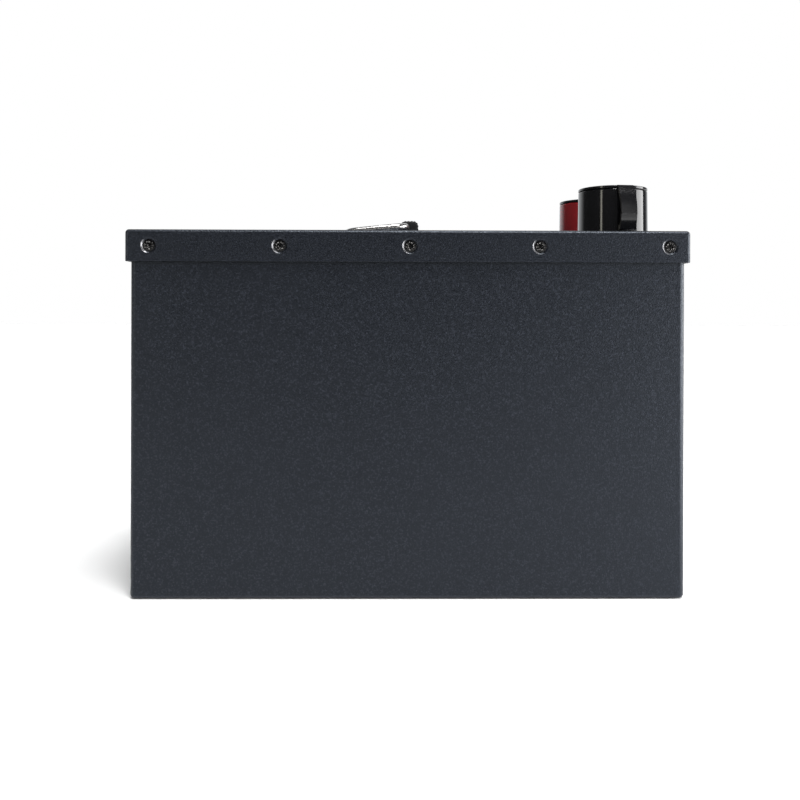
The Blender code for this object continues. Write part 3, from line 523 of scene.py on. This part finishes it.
def rounded_rect(width, depth, radius, steps=8):
    """Outline of a rectangle with round corners, centred on the origin."""
    x, y = width / 2 - radius, depth / 2 - radius
    corners = [(x, y, 0), (-x, y, pi / 2), (-x, -y, pi), (x, -y, 1.5 * pi)]
    return [point for cx, cy, a in corners for point in arc((cx, cy), radius, a, a + pi / 2, steps)]


def prism(name, outline, low, high, plane="XY", edge=0.0):
    """Extrude an outline along the axis across its plane; edge rounds both rims."""
    bm = bmesh.new()
    spots = {"XY": lambda a, b, c: (a, b, c), "XZ": lambda a, b, c: (a, c, b)}
    rings = [[bm.verts.new(spots[plane](a, b, level)) for a, b in outline] for level in (low, high)]
    bridge(bm, rings)
    rims = [bm.faces.new(ring) for ring in rings]
    if edge:
        rim_edges = [e for face in rims for e in face.edges]
        bmesh.ops.bevel(bm, geom=rim_edges, offset=edge, segments=3, profile=0.5, affect="EDGES")
    return mesh_object(name, bm)


def shell(name, low, high, corner, profile):
    """Stack rounded rectangles, each inset from the box's sides, into one closed skin."""
    bm = bmesh.new()
    centre = (low + high) / 2
    width, depth = high.x - low.x, high.y - low.y
    rings = []
    for inset, height in profile:
        outline = rounded_rect(width - 2 * inset, depth - 2 * inset, max(corner - inset, 0.4 * MM))
        rings.append([bm.verts.new((centre.x + x, centre.y + y, height)) for x, y in outline])
    bridge(bm, rings)
    bm.faces.new(rings[0])
    bm.faces.new(rings[-1])
    return mesh_object(name, bm)


def boolean(target, tools, operation):
    """Cut or join other objects into the target's mesh, then drop them."""
    for tool in tools:
        modifier = target.modifiers.new(tool.name, "BOOLEAN")
        modifier.operation = operation
        modifier.solver = "EXACT"
        modifier.object = tool
    bpy.context.view_layer.update()
    graph = bpy.context.evaluated_depsgraph_get()
    mesh = bpy.data.meshes.new_from_object(target.evaluated_get(graph))
    target.modifiers.clear()
    target.data = mesh
    for tool in tools:
        bpy.data.objects.remove(tool)
    mesh.set_sharp_from_angle(angle=radians(SHARP_EDGE))
    return target


def moved(obj, matrix):
    """Move a mesh within its object."""
    obj.data.transform(matrix)
    return obj


def put_at(obj, spot):
    """Move an upright tool's mesh over a spot, keeping its height."""
    return moved(obj, Matrix.Translation((spot.x, spot.y, 0)))


def centre_of(node):
    low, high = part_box(node)
    return (low + high) / 2


def joint_named(name):
    return next(joint for joint in frame["joints"] if joint["name"] == name)


def flat_shaded(obj):
    """Keep broad flat faces flat beside their rounded edges."""
    modifier = obj.modifiers.new("flat_faces", "WEIGHTED_NORMAL")
    modifier.keep_sharp = True
    modifier.weight = 100
    return obj


def tube(name, path, radii, sides=32):
    """A round tube along a path, with a radius for each point and closed ends."""
    bm = bmesh.new()
    rings = []
    up = Vector((0, 0, 1))
    for i, (point, radius) in enumerate(zip(path, radii)):
        ahead = (path[min(i + 1, len(path) - 1)] - path[max(i - 1, 0)]).normalized()
        side = ahead.cross(up).normalized()
        rise = side.cross(ahead)
        angles = [2 * pi * k / sides for k in range(sides)]
        rings.append([bm.verts.new(point + radius * (cos(a) * side + sin(a) * rise)) for a in angles])
    bridge(bm, rings)
    bm.faces.new(rings[0])
    bm.faces.new(rings[-1])
    return mesh_object(name, bm)


def paint(piece, slot):
    """Give a mesh the one material of its slot."""
    piece.data.materials.clear()
    piece.data.materials.append(LOOKS[slot])


def fit(piece, slot, body, *nodes):
    """Finish a piece: its material, the body it rides on and the CAD nodes that it stands for."""
    paint(piece, slot)
    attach(piece, body)
    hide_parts(*nodes)
    return piece


def mark(obj, name, amount):
    """Store a value on each vertex, from a function of its place."""
    attribute = obj.data.attributes.new(name, "FLOAT", "POINT")
    for vertex, item in zip(obj.data.vertices, attribute.data):
        item.value = amount(vertex.co)
    return obj


# ---------------------------------------------------------------- case


def screw_nodes():
    """(CAD node, outward direction) of each lid screw."""
    sides = [("front", (0, -1, 0), 5), ("back", (0, 1, 0), 5)]
    sides += [("right", (1, 0, 0), 2), ("left", (-1, 0, 0), 2)]
    return [(f"lid_screw_{side}_{i + 1}", Vector(out)) for side, out, count in sides for i in range(count)]


def screw_frame(node, out):
    """Matrix that stands a +Z axis along the screw, with its origin on the skirt's surface."""
    lid_low, lid_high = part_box("lid")
    centre = centre_of(node)
    for axis in (0, 1):
        if out[axis]:
            centre[axis] = lid_high[axis] if out[axis] > 0 else lid_low[axis]
    return Matrix.Translation(centre) @ out.to_track_quat("Z", "X").to_matrix().to_4x4()


def fold_wear(low, high, foot):
    """Wear along a folded box's edges: strongest in the middle of each bend."""

    def amount(spot):
        inset = [min(spot.x - low.x, high.x - spot.x), min(spot.y - low.y, high.y - spot.y)]
        inset.append(min(abs(high.z - spot.z), abs(spot.z - low.z) if foot else 1))
        second = sorted(inset)[1]
        return max(0.0, min(1.0, 1.35 * (1 - second / BEND)))

    return amount


def countersink_lips():
    """Painted highlight inside each countersink's rim: how much lighter bare metal shows, on its lower left
    only, the side where the light catches it.
    """
    places = [screw_frame(node, out).inverted() for node, out in screw_nodes()]

    def amount(spot):
        for place in places:
            near = place @ spot
            if -0.5 * MM < near.z < -0.02 * MM and SINK_R - 1.2 * MM < near.xy.length < SINK_R - 0.05 * MM:
                return max(0.0, min(1.0, 1.6 * near.xy.normalized().dot(GLINT_SIDE) - 0.35))
        return 0.0

    return amount


def tub():
    """Folded tub with an inward top flange."""
    low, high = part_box("case_tub")
    bottom = [(BEND - x, BEND + z) for x, z in arc((0, 0), BEND, -pi / 2, 0, 8)]
    top = high.z
    profile = [(inset, low.z + z) for inset, z in bottom]
    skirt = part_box("lid")[0].z
    profile += [(0, skirt - SKIRT_SHADOW_END), (0, skirt - SKIRT_SHADOW_START), (0, skirt + 1 * MM)]
    profile += [(0, top - SHEET), (0.44 * SHEET, top - 0.44 * SHEET * 0.66), (SHEET, top)]
    profile += [(FLANGE - HEM, top), (FLANGE, top - HEM), (FLANGE, top - SHEET + HEM)]
    profile += [(FLANGE - HEM, top - SHEET), (SHEET, top - SHEET), (SHEET, low.z + 2 * SHEET)]
    profile += [(1.4 * SHEET, low.z + 1.3 * SHEET), (2 * SHEET, low.z + SHEET)]
    obj = shell("tub_shell", low, high, TUB_CORNER, profile)
    holes = []
    for i, (node, out) in enumerate(screw_nodes()):
        hole = cylinder(f"hole_{i}", 2.3 * MM, -6 * MM, -1.8 * MM, 24)
        holes.append(moved(hole, screw_frame(node, out)))
    boolean(obj, holes, "DIFFERENCE")
    mark(obj, "wear", fold_wear(low, high, True))
    # Painted shadow under the skirt: this band of the tub is coloured near black.
    mark(obj, "painted_skirt_shadow", lambda spot: 1.0 if spot.z > skirt - SKIRT_SHADOW_END + HEM else 0.0)
    return fit(flat_shaded(obj), "powder_coat", "case", "case_tub")


def sink_cutter(name):
    """Countersink with a soft pressed lip."""
    deep, lip, over = SHEET + 0.2 * MM, 0.35 * MM, 0.25 * MM
    wall_r = SINK_R - 0.25 * MM
    profile = [(0, -deep), (wall_r - SINK_SLOPE * deep, -deep), (wall_r - SINK_SLOPE * lip, -lip)]
    profile += [(SINK_R - 0.33 * MM, -0.16 * MM), (SINK_R - 0.12 * MM, -0.04 * MM)]
    profile += [(SINK_R, 0), (SINK_R + 3 * over, over), (0, over)]
    return lathe(name, profile, 48)


def lid():
    """Shallow folded lid with its countersinks and bores."""
    low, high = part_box("lid")
    top = [(BEND - x, high.z - BEND + z) for x, z in arc((0, 0), BEND, pi / 2, 0, 10)]
    inner_top = high.z - SHEET
    profile = [*top, (0, low.z + HEM), (0.3 * HEM, low.z + 0.3 * HEM), (HEM, low.z)]
    profile += [(SHEET - HEM, low.z), (SHEET, low.z + HEM), (SHEET, inner_top - SHEET)]
    profile += [(1.3 * SHEET, inner_top - 0.3 * SHEET), (2 * SHEET, inner_top)]
    obj = shell("lid_shell", low, high, BEND, profile)
    tools = []
    for i, (node, out) in enumerate(screw_nodes()):
        tools.append(moved(sink_cutter(f"sink_{i}"), screw_frame(node, out)))
    span = (high.z - 2 * SHEET, high.z + SHEET)
    for prefix in ("black", "red"):
        bore = cylinder(f"{prefix}_bore", SPIGOT_R + 0.4 * MM, *span, 64)
        tools.append(put_at(bore, terminal_frame(prefix).translation))
    for i, node in enumerate(HANDLE_SCREWS):
        bore = cylinder(f"handle_bore_{i}", HANDLE_HOLE_R, *span, 24)
        tools.append(put_at(bore, centre_of(node)))
    boolean(obj, tools, "DIFFERENCE")
    mark(obj, "wear", fold_wear(low, high, False))
    mark(obj, "painted_glint_lip", countersink_lips())
    return fit(flat_shaded(obj), "powder_coat", "case", "lid")


def cross_cutter(name, length, width, depth, top):
    """Tapered cross-recess cutter whose top is at the given height."""
    bm = bmesh.new()
    rings = []
    levels = [(top - depth, 0.42, 0.6), (top - 0.55 * depth, 0.7, 0.8)]
    levels += [(top, 1.0, 1.0), (top + 1 * MM, 1.3, 1.2)]
    for level, long, wide in levels:
        a, b = length / 2 * long, width / 2 * wide
        quarter = [(a - 0.3 * b, -b), (a, -0.55 * b), (a, 0.55 * b), (a - 0.3 * b, b), (b, b)]
        turns = [pi / 2 * i for i in range(4)]
        outline = [(x * cos(t) - y * sin(t), x * sin(t) + y * cos(t)) for t in turns for x, y in quarter]
        rings.append([bm.verts.new((x, y, level)) for x, y in outline])
    bridge(bm, rings)
    bm.faces.new(rings[0])
    bm.faces.new(rings[-1])
    return mesh_object(name, bm)


def lid_screws():
    """Countersunk cross-recess screws, each turned as its driver left it."""
    face = -HEAD_SINK
    cone = HEAD_R - SHANK_R
    profile = [(0, face + 0.14 * MM), (0.5 * HEAD_R, face + 0.12 * MM), (0.8 * HEAD_R, face + 0.06 * MM)]
    profile += [(HEAD_R - 0.18 * MM, face), (HEAD_R - 0.05 * MM, face - 0.08 * MM), (HEAD_R, face - 0.2 * MM)]
    neck = face - 0.25 * MM - cone / SINK_SLOPE
    profile += [(HEAD_R - 0.05 * MM, face - 0.3 * MM), (SHANK_R, neck)]
    count = int((SHANK_END + neck) / SHANK_PITCH * 2)
    for i in range(count):
        depth = 0.0 if i % 2 else 0.3 * MM
        profile.append((SHANK_R - depth, neck - SHANK_PITCH / 2 * (i + 0.6)))
    profile += [(SHANK_R - 0.5 * MM, -SHANK_END), (0, -SHANK_END)]
    pattern = lathe("screw_pattern", profile, 40)
    boolean(pattern, [cross_cutter("recess", 4.5 * MM, 1.05 * MM, 1.5 * MM, face + 0.1 * MM)], "DIFFERENCE")

    def rubbed(spot):
        inside = spot.z < face + 0.14 * MM and spot.xy.length < 2.3 * MM and spot.z > face - 1.6 * MM
        return 1.0 if inside else 0.0

    mark(pattern, "wear", rubbed)
    for i, (node, out) in enumerate(screw_nodes()):
        obj = bpy.data.objects.new(node.replace("lid_screw", "countersunk_screw"), pattern.data)
        bpy.context.scene.collection.objects.link(obj)
        turn = radians((37 * i + 20) % 90)
        obj.matrix_world = screw_frame(node, out) @ Matrix.Rotation(turn, 4, "Z")
        fit(obj, "black_screw", "case", node)
    bpy.data.objects.remove(pattern)


# ---------------------------------------------------------------- handle


def hinge_point():
    """Where the handle's hinge line crosses the middle of the lid."""
    return Vector(joint_named("handle_fold")["pos_m"])


def saddle():
    """Pressed plate whose half-round channel holds both turned-in ends of the bail."""
    low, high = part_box("handle_saddle")
    hinge = hinge_point()
    inner = ROD_R + 0.35 * MM
    outer = inner + SADDLE_SHEET
    flange = low.z + SADDLE_SHEET
    fillet = 0.8 * MM
    outline = [(low.x, low.z), (hinge.x - inner, low.z), *arc((hinge.x, hinge.z), inner, pi, 0, 24)]
    outline += [(hinge.x + inner, low.z), (high.x, low.z), (high.x, flange)]
    foot = [(hinge.x + outer + fillet - x, flange + fillet - z) for x, z in arc((0, 0), fillet, pi / 2, 0, 5)]
    outline += [*foot, *arc((hinge.x, hinge.z), outer, 0.12 * pi, 0.88 * pi, 24)]
    outline += [(2 * hinge.x - x, z) for x, z in reversed(foot)]
    outline.append((low.x, flange))
    obj = prism("handle_saddle_plate", outline, low.y, high.y, "XZ")
    trim = prism("trim", rounded_rect(high.x - low.x, high.y - low.y, SADDLE_CORNER), low.z - MM, high.z + MM)
    boolean(obj, [put_at(trim, centre_of("handle_saddle"))], "INTERSECT")
    holes = []
    for i, node in enumerate(HANDLE_SCREWS):
        hole = cylinder(f"hole_{i}", HANDLE_HOLE_R, low.z - MM, high.z + MM, 32)
        holes.append(put_at(hole, centre_of(node)))
    boolean(obj, holes, "DIFFERENCE")
    edges = obj.modifiers.new("soft_edges", "BEVEL")
    edges.width = 0.18 * MM
    edges.segments = 2
    edges.limit_method = "ANGLE"
    edges.angle_limit = radians(50)
    return fit(flat_shaded(obj), "zinc_steel", "case", "handle_saddle")


def handle_screws():
    """Pan-head screws through the saddle."""
    head_r, head_top, shank_r = 2.9 * MM, 2 * MM, 1.5 * MM
    dome = [(head_r * cos(a), head_top * sin(a) ** 0.9) for a in (pi / 2 * i / 10 for i in range(10))]
    profile = [(0, head_top), *reversed(dome), (head_r - 0.15 * MM, -0.02 * MM), (shank_r, 0.02 * MM)]
    low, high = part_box(HANDLE_SCREWS[0])
    seat = high.z - head_top
    tip = low.z - seat
    turns = int(-tip / (0.25 * MM))
    for i in range(1, turns):
        profile.append((shank_r - (0.25 * MM if i % 2 else 0), tip * i / turns))
    profile += [(shank_r - 0.3 * MM, tip), (0, tip)]
    pattern = lathe("pan_pattern", profile, 40)
    boolean(pattern, [cross_cutter("recess", 3.2 * MM, 0.85 * MM, 1.2 * MM, head_top)], "DIFFERENCE")
    for i, node in enumerate(HANDLE_SCREWS):
        spot = centre_of(node)
        obj = bpy.data.objects.new(f"pan_head_screw_{i + 1}", pattern.data)
        bpy.context.scene.collection.objects.link(obj)
        obj.matrix_world = Matrix.Translation((spot.x, spot.y, seat)) @ Matrix.Rotation(0.7 * i, 4, "Z")
        fit(obj, "zinc_steel", "case", node)
    bpy.data.objects.remove(pattern)


def bail():
    """Chrome wire bail: two turned-in ends, two legs and a cross bar inside the grip."""
    hinge = hinge_point()
    grip_low, grip_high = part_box("handle_grip")
    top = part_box("handle_bail")[1]
    bar = Vector((top.x - ROD_R, 0, top.z - ROD_R)) - hinge
    reach = bar.length
    half, r, steps = BAIL_HALF_SPAN, BAIL_BEND, 12
    corners = [(r, r - half, 2), (reach - r, r - half, 3), (reach - r, half - r, 0), (r, half - r, 1)]
    quarter = 0.5 * pi
    flat = []
    for x, y, turn in corners:
        flat += arc((x, y), r, quarter * turn, quarter * (turn + 1), steps)
    rounding = 0.5 * MM
    tips = [(0.0, 0.72), (0.15, 0.9), (0.5, 0.98), (1.0, 1.0)]
    start = [(0, -BAIL_END_Y - rounding * t) for t, _ in tips]
    end = [(0, BAIL_END_Y + rounding * t) for t, _ in reversed(tips)]
    slope = bar.normalized()
    path = [hinge + slope * u + Vector((0, y, 0)) for u, y in (*start, *flat, *end)]
    shares = [share for _, share in tips]
    radii = [ROD_R * share for share in (*shares, *[1.0] * len(flat), *reversed(shares))]
    fit(tube("wire_bail", path, radii), "chrome_rod", "handle", "handle_bail")
    grip(grip_low, grip_high, hinge + bar)


def fluted(width, height, inset, flute):
    """Rounded rectangle with shallow flutes all round, as points spaced evenly along it."""
    radius = max(GRIP_CORNER - inset, 0.5 * MM)
    outline = [Vector(p) for p in rounded_rect(width - 2 * inset, height - 2 * inset, radius, 12)]
    lengths = [(b - a).length for a, b in zip(outline, outline[1:] + outline[:1])]
    total = sum(lengths)
    count = FLUTE_COUNT * 10
    points = []
    index, passed = 0, 0.0
    for k in range(count):
        at = total * k / count
        while passed + lengths[index] < at:
            passed += lengths[index]
            index += 1
        a, b = outline[index], outline[(index + 1) % len(outline)]
        spot = a.lerp(b, (at - passed) / lengths[index])
        inward = Vector((b.y - a.y, a.x - b.x)).normalized()
        depth = flute * (0.5 - 0.5 * cos(2 * pi * FLUTE_COUNT * k / count)) ** 1.5
        points.append(spot - inward * depth)
    return points


def grip(low, high, bar):
    """Fluted rubber grip with rounded ends, on the bail's cross bar."""
    centre = (low + high) / 2
    width, height = high.x - low.x, high.z - low.z
    ends = [(0.0, 1.1), (0.15, 0.55), (0.5, 0.15), (1.1, 0.0), (1.6, 0.0)]
    levels = [(low.y + t * MM, inset * MM) for t, inset in ends]
    levels += [(low.y + (high.y - low.y) * i / 8, 0.0) for i in range(1, 8)]
    levels += [(high.y - t * MM, inset * MM) for t, inset in reversed(ends)]
    bm = bmesh.new()
    rings = []
    for y, inset in levels:
        outline = fluted(width, height, inset, FLUTE_DEPTH)
        rings.append([bm.verts.new((centre.x + p.x, y, centre.z + p.y)) for p in outline])
    count = len(rings[0])
    bore = ROD_R + 0.08 * MM
    first = rings[0][0].co
    start = Vector((first.x - bar.x, first.z - bar.z)).angle_signed(Vector((1, 0)))
    angles = [start + 2 * pi * k / count for k in range(count)]
    for y in (high.y, low.y):
        rings.append([bm.verts.new((bar.x + bore * cos(a), y, bar.z + bore * sin(a))) for a in angles])
    bridge(bm, rings, closed=True)
    fit(mesh_object("ribbed_grip", bm, 50), "grip_rubber", "handle", "handle_grip")


# ---------------------------------------------------------------- terminals


def terminal_frame(prefix):
    """Matrix of a terminal: origin on the lid's top at the stud, +X towards the strap."""
    along = Vector(joint_named(f"{prefix}_cap_flip")["axis"])
    towards = along.cross(Vector((0, 0, 1)))
    centre = centre_of(f"{prefix}_terminal_stud")
    matrix = Matrix((towards, along, Vector((0, 0, 1)))).transposed().to_4x4()
    matrix.translation = (centre.x, centre.y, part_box("lid")[1].z)
    return matrix


def strap_angle(height, inset=0.0):
    """Angle on the strap's bow at a height."""
    return asin((height - STRAP_ARC_Z) / (STRAP_ARC_R - inset))


def bow(start, end, inset, steps=14):
    """Points along the strap's bowed face between two angles."""
    return arc((STRAP_ARC_X, STRAP_ARC_Z), STRAP_ARC_R - inset, start, end, steps)


def hood(prefix, home):
    """Round hood, open above and below."""
    inner = HOOD_R_TOP - HOOD_WALL
    edge, foot_edge = 0.8 * MM, 0.3 * MM
    profile = [(inner, HOOD_LOW)]
    profile += arc((HOOD_R_BOTTOM - foot_edge, HOOD_LOW + foot_edge), foot_edge, -pi / 2, 0, 3)
    profile += [*arc((HOOD_R_TOP - edge, HOOD_TOP - edge), edge, 0, pi / 2, 6)]
    profile += [(inner + 0.2 * MM, HOOD_TOP), (inner, HOOD_TOP - 0.2 * MM)]
    made = lathe(f"{prefix}_hood_shell", profile, 128, closed=True)
    fit(flat_shaded(moved(made, home)), f"{prefix}_hood_plastic", "case", f"{prefix}_terminal_hood")


def cap(prefix, home):
    """Flat cap with a raised rim and a stiffening ring beneath."""
    rim, edge = HOOD_R_TOP, 0.45 * MM
    ring = [(12.6, 0), (12.7, 0.9), (12.9, 1.1), (13.8, 1.1), (14, 0.9), (14.1, 0)]  # radius and drop, in mm
    profile = [(0, CAP_LOW), *((radius * MM, CAP_LOW - drop * MM) for radius, drop in ring)]
    profile += [(rim - 0.25 * MM, CAP_LOW), (rim, CAP_LOW + 0.25 * MM)]
    profile += [*arc((rim - edge, CAP_TOP - edge), edge, 0, pi / 2, 5)]
    profile += [(rim - 2.2 * MM, CAP_TOP), (rim - 2.5 * MM, CAP_TOP - 0.25 * MM), (0, CAP_TOP - 0.25 * MM)]
    made = lathe(f"{prefix}_cap_cover", profile, 128)
    fit(flat_shaded(moved(made, home)), "cap_plastic", f"{prefix}_cap", f"{prefix}_terminal_cap")


def strap(prefix, home):
    """Bowed strap from the hood's foot to the cap, with a thin raised line at the hinge."""
    root_low, root_top = HOOD_R_TOP - HOOD_WALL / 2, HOOD_R_TOP - 3.2 * MM
    foot, sole = HOOD_LOW + 3 * MM, HOOD_LOW + 0.1 * MM
    under, over = CAP_LOW + 0.15 * MM, CAP_TOP - 0.05 * MM
    shoulder = asin((over - STRAP_SHOULDER - STRAP_ARC_Z) / (STRAP_ARC_R - STRAP_SHOULDER))
    turn_x = STRAP_ARC_X + (STRAP_ARC_R - STRAP_SHOULDER) * cos(shoulder)
    turn_z = STRAP_ARC_Z + (STRAP_ARC_R - STRAP_SHOULDER) * sin(shoulder)
    fold_low, fold_high = strap_angle(HINGE_Z - FOLD_HALF), strap_angle(HINGE_Z + FOLD_HALF)
    outer = [*bow(strap_angle(sole), fold_low, 0, 22), *bow(fold_low, fold_high, -FOLD_RISE, 2)]
    outer += bow(fold_high, shoulder, 0, 36)
    outer += arc((turn_x, turn_z), STRAP_SHOULDER, shoulder, pi / 2, 6)[1:]
    inner = bow(strap_angle(under, STRAP_THICK), strap_angle(foot, STRAP_THICK), STRAP_THICK, 56)
    outline = [(root_low, sole), *outer, (root_top, over), (root_top, under), *inner, (root_low, foot)]
    half = STRAP_WIDTH / 2
    made = flat_shaded(moved(prism(f"{prefix}_cap_strap", outline, -half, half, "XZ", STRAP_EDGE), home))
    paint(made, "cap_plastic")
    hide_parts(f"{prefix}_cap_hinge_pin")
    low, high = (home @ Vector((HINGE_X, 0, HINGE_Z + side * BEND_HALF)) for side in (-1, 1))
    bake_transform(made)
    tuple(low)
    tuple(high)


def base(prefix, home):
    """Insulating base with a raised ring, a pedestal and radial ribs between them."""
    seat, soft, step, fillet, rim = 0.3 * MM, 0.5 * MM, 0.3 * MM, 0.4 * MM, 0.25 * MM
    profile = [(STUD_HOLE_R, SPIGOT_END), (SPIGOT_R, SPIGOT_END), (SPIGOT_R, seat)]
    profile += [(FLANGE_R - 0.2 * MM, seat), (FLANGE_R, soft)]
    profile += arc((FLANGE_R - soft, FLANGE_TOP - soft), soft, 0, pi / 2, 5)
    profile += [(BASE_RING_R, FLANGE_TOP), (BASE_RING_R, BASE_RING_TOP - step)]
    profile += [(BASE_RING_R - step, BASE_RING_TOP), (PEDESTAL_R + fillet, BASE_RING_TOP)]
    profile += [(PEDESTAL_R, BASE_RING_TOP + fillet), (PEDESTAL_R, PEDESTAL_TOP - rim)]
    profile += [(PEDESTAL_R - rim, PEDESTAL_TOP), (STUD_HOLE_R, PEDESTAL_TOP)]
    made = lathe(f"{prefix}_base_plate", profile, 96, closed=True)
    near, far, sunk, half = PEDESTAL_R - soft, 18.4 * MM, BASE_RING_TOP - soft, 0.6 * MM
    outline = [(near, sunk), (far, sunk), (far, BASE_RING_TOP + 0.1 * MM), (near, PEDESTAL_TOP - 1 * MM)]
    ribs = []
    for i in range(8):
        rib = prism(f"rib_{i}", outline, -half, half, "XZ")
        ribs.append(moved(rib, Matrix.Rotation(2 * pi * (i + 0.5) / 8, 4, "Z")))
    boolean(made, ribs, "UNION")
    fit(flat_shaded(moved(made, home)), "terminal_base_plastic", "case", f"{prefix}_terminal_base")


def thread_radius(height, angle):
    """Radius of an M8 thread, a helix that fades out at the stud's tip."""
    phase = (height / THREAD_PITCH - angle / (2 * pi)) % 1
    wave = abs(2 * phase - 1)
    radius = STUD_R - THREAD_DEPTH * max(0.0, min(1.0, 1.35 * wave - 0.15))
    tip = STUD_R - max(0.0, height - STUD_TOP + 0.8 * MM)
    return min(radius, tip)


def stud(prefix, home):
    """Threaded brass stud with its collar."""
    bm = bmesh.new()
    sides = 48
    rings = [[bm.verts.new((0, 0, STUD_END))]]

    def ring_at(radius_of, height):
        angles = [2 * pi * k / sides for k in range(sides)]
        rings.append([bm.verts.new((radius_of(a) * cos(a), radius_of(a) * sin(a), height)) for a in angles])

    def threaded(low, high):
        steps = round((high - low) / (THREAD_PITCH / 8))
        for i in range(steps + 1):
            height = low + (high - low) * i / steps
            ring_at(lambda a: thread_radius(height, a), height)

    threaded(STUD_END, -8 * MM)
    low, high = COLLAR_Z
    soft = 0.25 * MM
    plain = [(STUD_R, -7.8 * MM), (STUD_R, low), (COLLAR_R - soft, low), (COLLAR_R, low + soft)]
    plain += [(COLLAR_R, high - soft), (COLLAR_R - soft, high), (STUD_R - 0.3 * MM, high)]
    for radius, height in plain:
        ring_at(lambda a: radius, height)
    threaded(high + 0.2 * MM, STUD_TOP)
    rings.append([bm.verts.new((0, 0, STUD_TOP))])
    bridge(bm, rings)
    made = mesh_object(f"{prefix}_stud_threaded", bm, 45)
    fit(moved(made, home), "brass", "case", f"{prefix}_terminal_stud")


def hex_nut(name, low, high):
    """Hexagon nut with turned corners and a chamfered bore."""
    radius = NUT_FLATS / (2 * cos(pi / 6))
    nut = prism(name, arc((0, 0), radius, 0, 5 * pi / 3, 5), low, high)
    drop = 0.55 * MM
    flat = NUT_FLATS / 2 * 0.97
    turned = [(0, low), (flat, low), (radius + 0.2 * MM, low + drop * 1.7)]
    turned += [(radius + 0.2 * MM, high - drop * 1.7), (flat, high), (0, high)]
    boolean(nut, [lathe("turned", turned, 96)], "INTERSECT")
    over = 0.5 * MM
    wide, narrow = STUD_HOLE_R + 0.4 * MM + over, STUD_HOLE_R - 0.25 * MM
    bore = [(0, low - over), (wide, low - over), (narrow, low + over)]
    bore += [(narrow, high - over), (wide, high + over), (0, high + over)]
    boolean(nut, [lathe("bore", bore, 48)], "DIFFERENCE")
    return flat_shaded(nut)


def washer(name):
    """Flat washer with softened rims."""
    low, high = WASHER_Z
    soft = 0.2 * MM
    profile = [(STUD_HOLE_R, low), (COLLAR_R - soft, low), (COLLAR_R, low + soft), (COLLAR_R, high - soft)]
    profile += [(COLLAR_R - soft, high), (STUD_HOLE_R + soft, high), (STUD_HOLE_R, high - soft)]
    return lathe(name, profile, 72, closed=True)


def terminal(prefix):
    """Every visible piece of one terminal."""
    home = terminal_frame(prefix)
    base(prefix, home)
    stud(prefix, home)
    ring = moved(washer(f"{prefix}_flat_washer"), home)
    fit(ring, "zinc_steel", "case", f"{prefix}_terminal_washer")
    nut = moved(hex_nut(f"{prefix}_hex_nut", *NUT_Z), home)
    fit(nut, "zinc_steel", "case", f"{prefix}_terminal_nut")
    hood(prefix, home)
    cap(prefix, home)
    strap(prefix, home)


# ---------------------------------------------------------------- pieces kept from the CAD


def keep_inside():
    """Give the sealed pieces their materials; their CAD shapes are right as they are."""
    kept = {
        "gasket_rubber": ["lid_gasket"],
        "zinc_steel": ["handle_backing_plate", "black_terminal_inner_nut", "red_terminal_inner_nut"],
        "terminal_base_plastic": ["black_terminal_inner_bush", "red_terminal_inner_bush"],
        "cell_wrap": [f"cell_{i + 1}" for i in range(4)],
        "copper": [f"busbar_{i + 1}" for i in range(3)],
        "foam": ["cell_base_pad", "cell_top_foam"],
        "laminate": ["divider_plate", "bms_board"],
        "aluminium": ["bms_heat_sink"],
        "black_cable": ["negative_lead", "output_lead"],
        "red_cable": ["positive_lead"],
    }
    for slot, nodes in kept.items():
        for name in nodes:
            paint(frame["nodes"][name], slot)


# ---------------------------------------------------------------- assembly

bpy.context.scene.view_settings.view_transform = "Standard"
camera()
world()
lights()
floor()
LOOKS = looks()
tub()
lid()
lid_screws()
saddle()
handle_screws()
bail()
terminal("black")
terminal("red")
keep_inside()
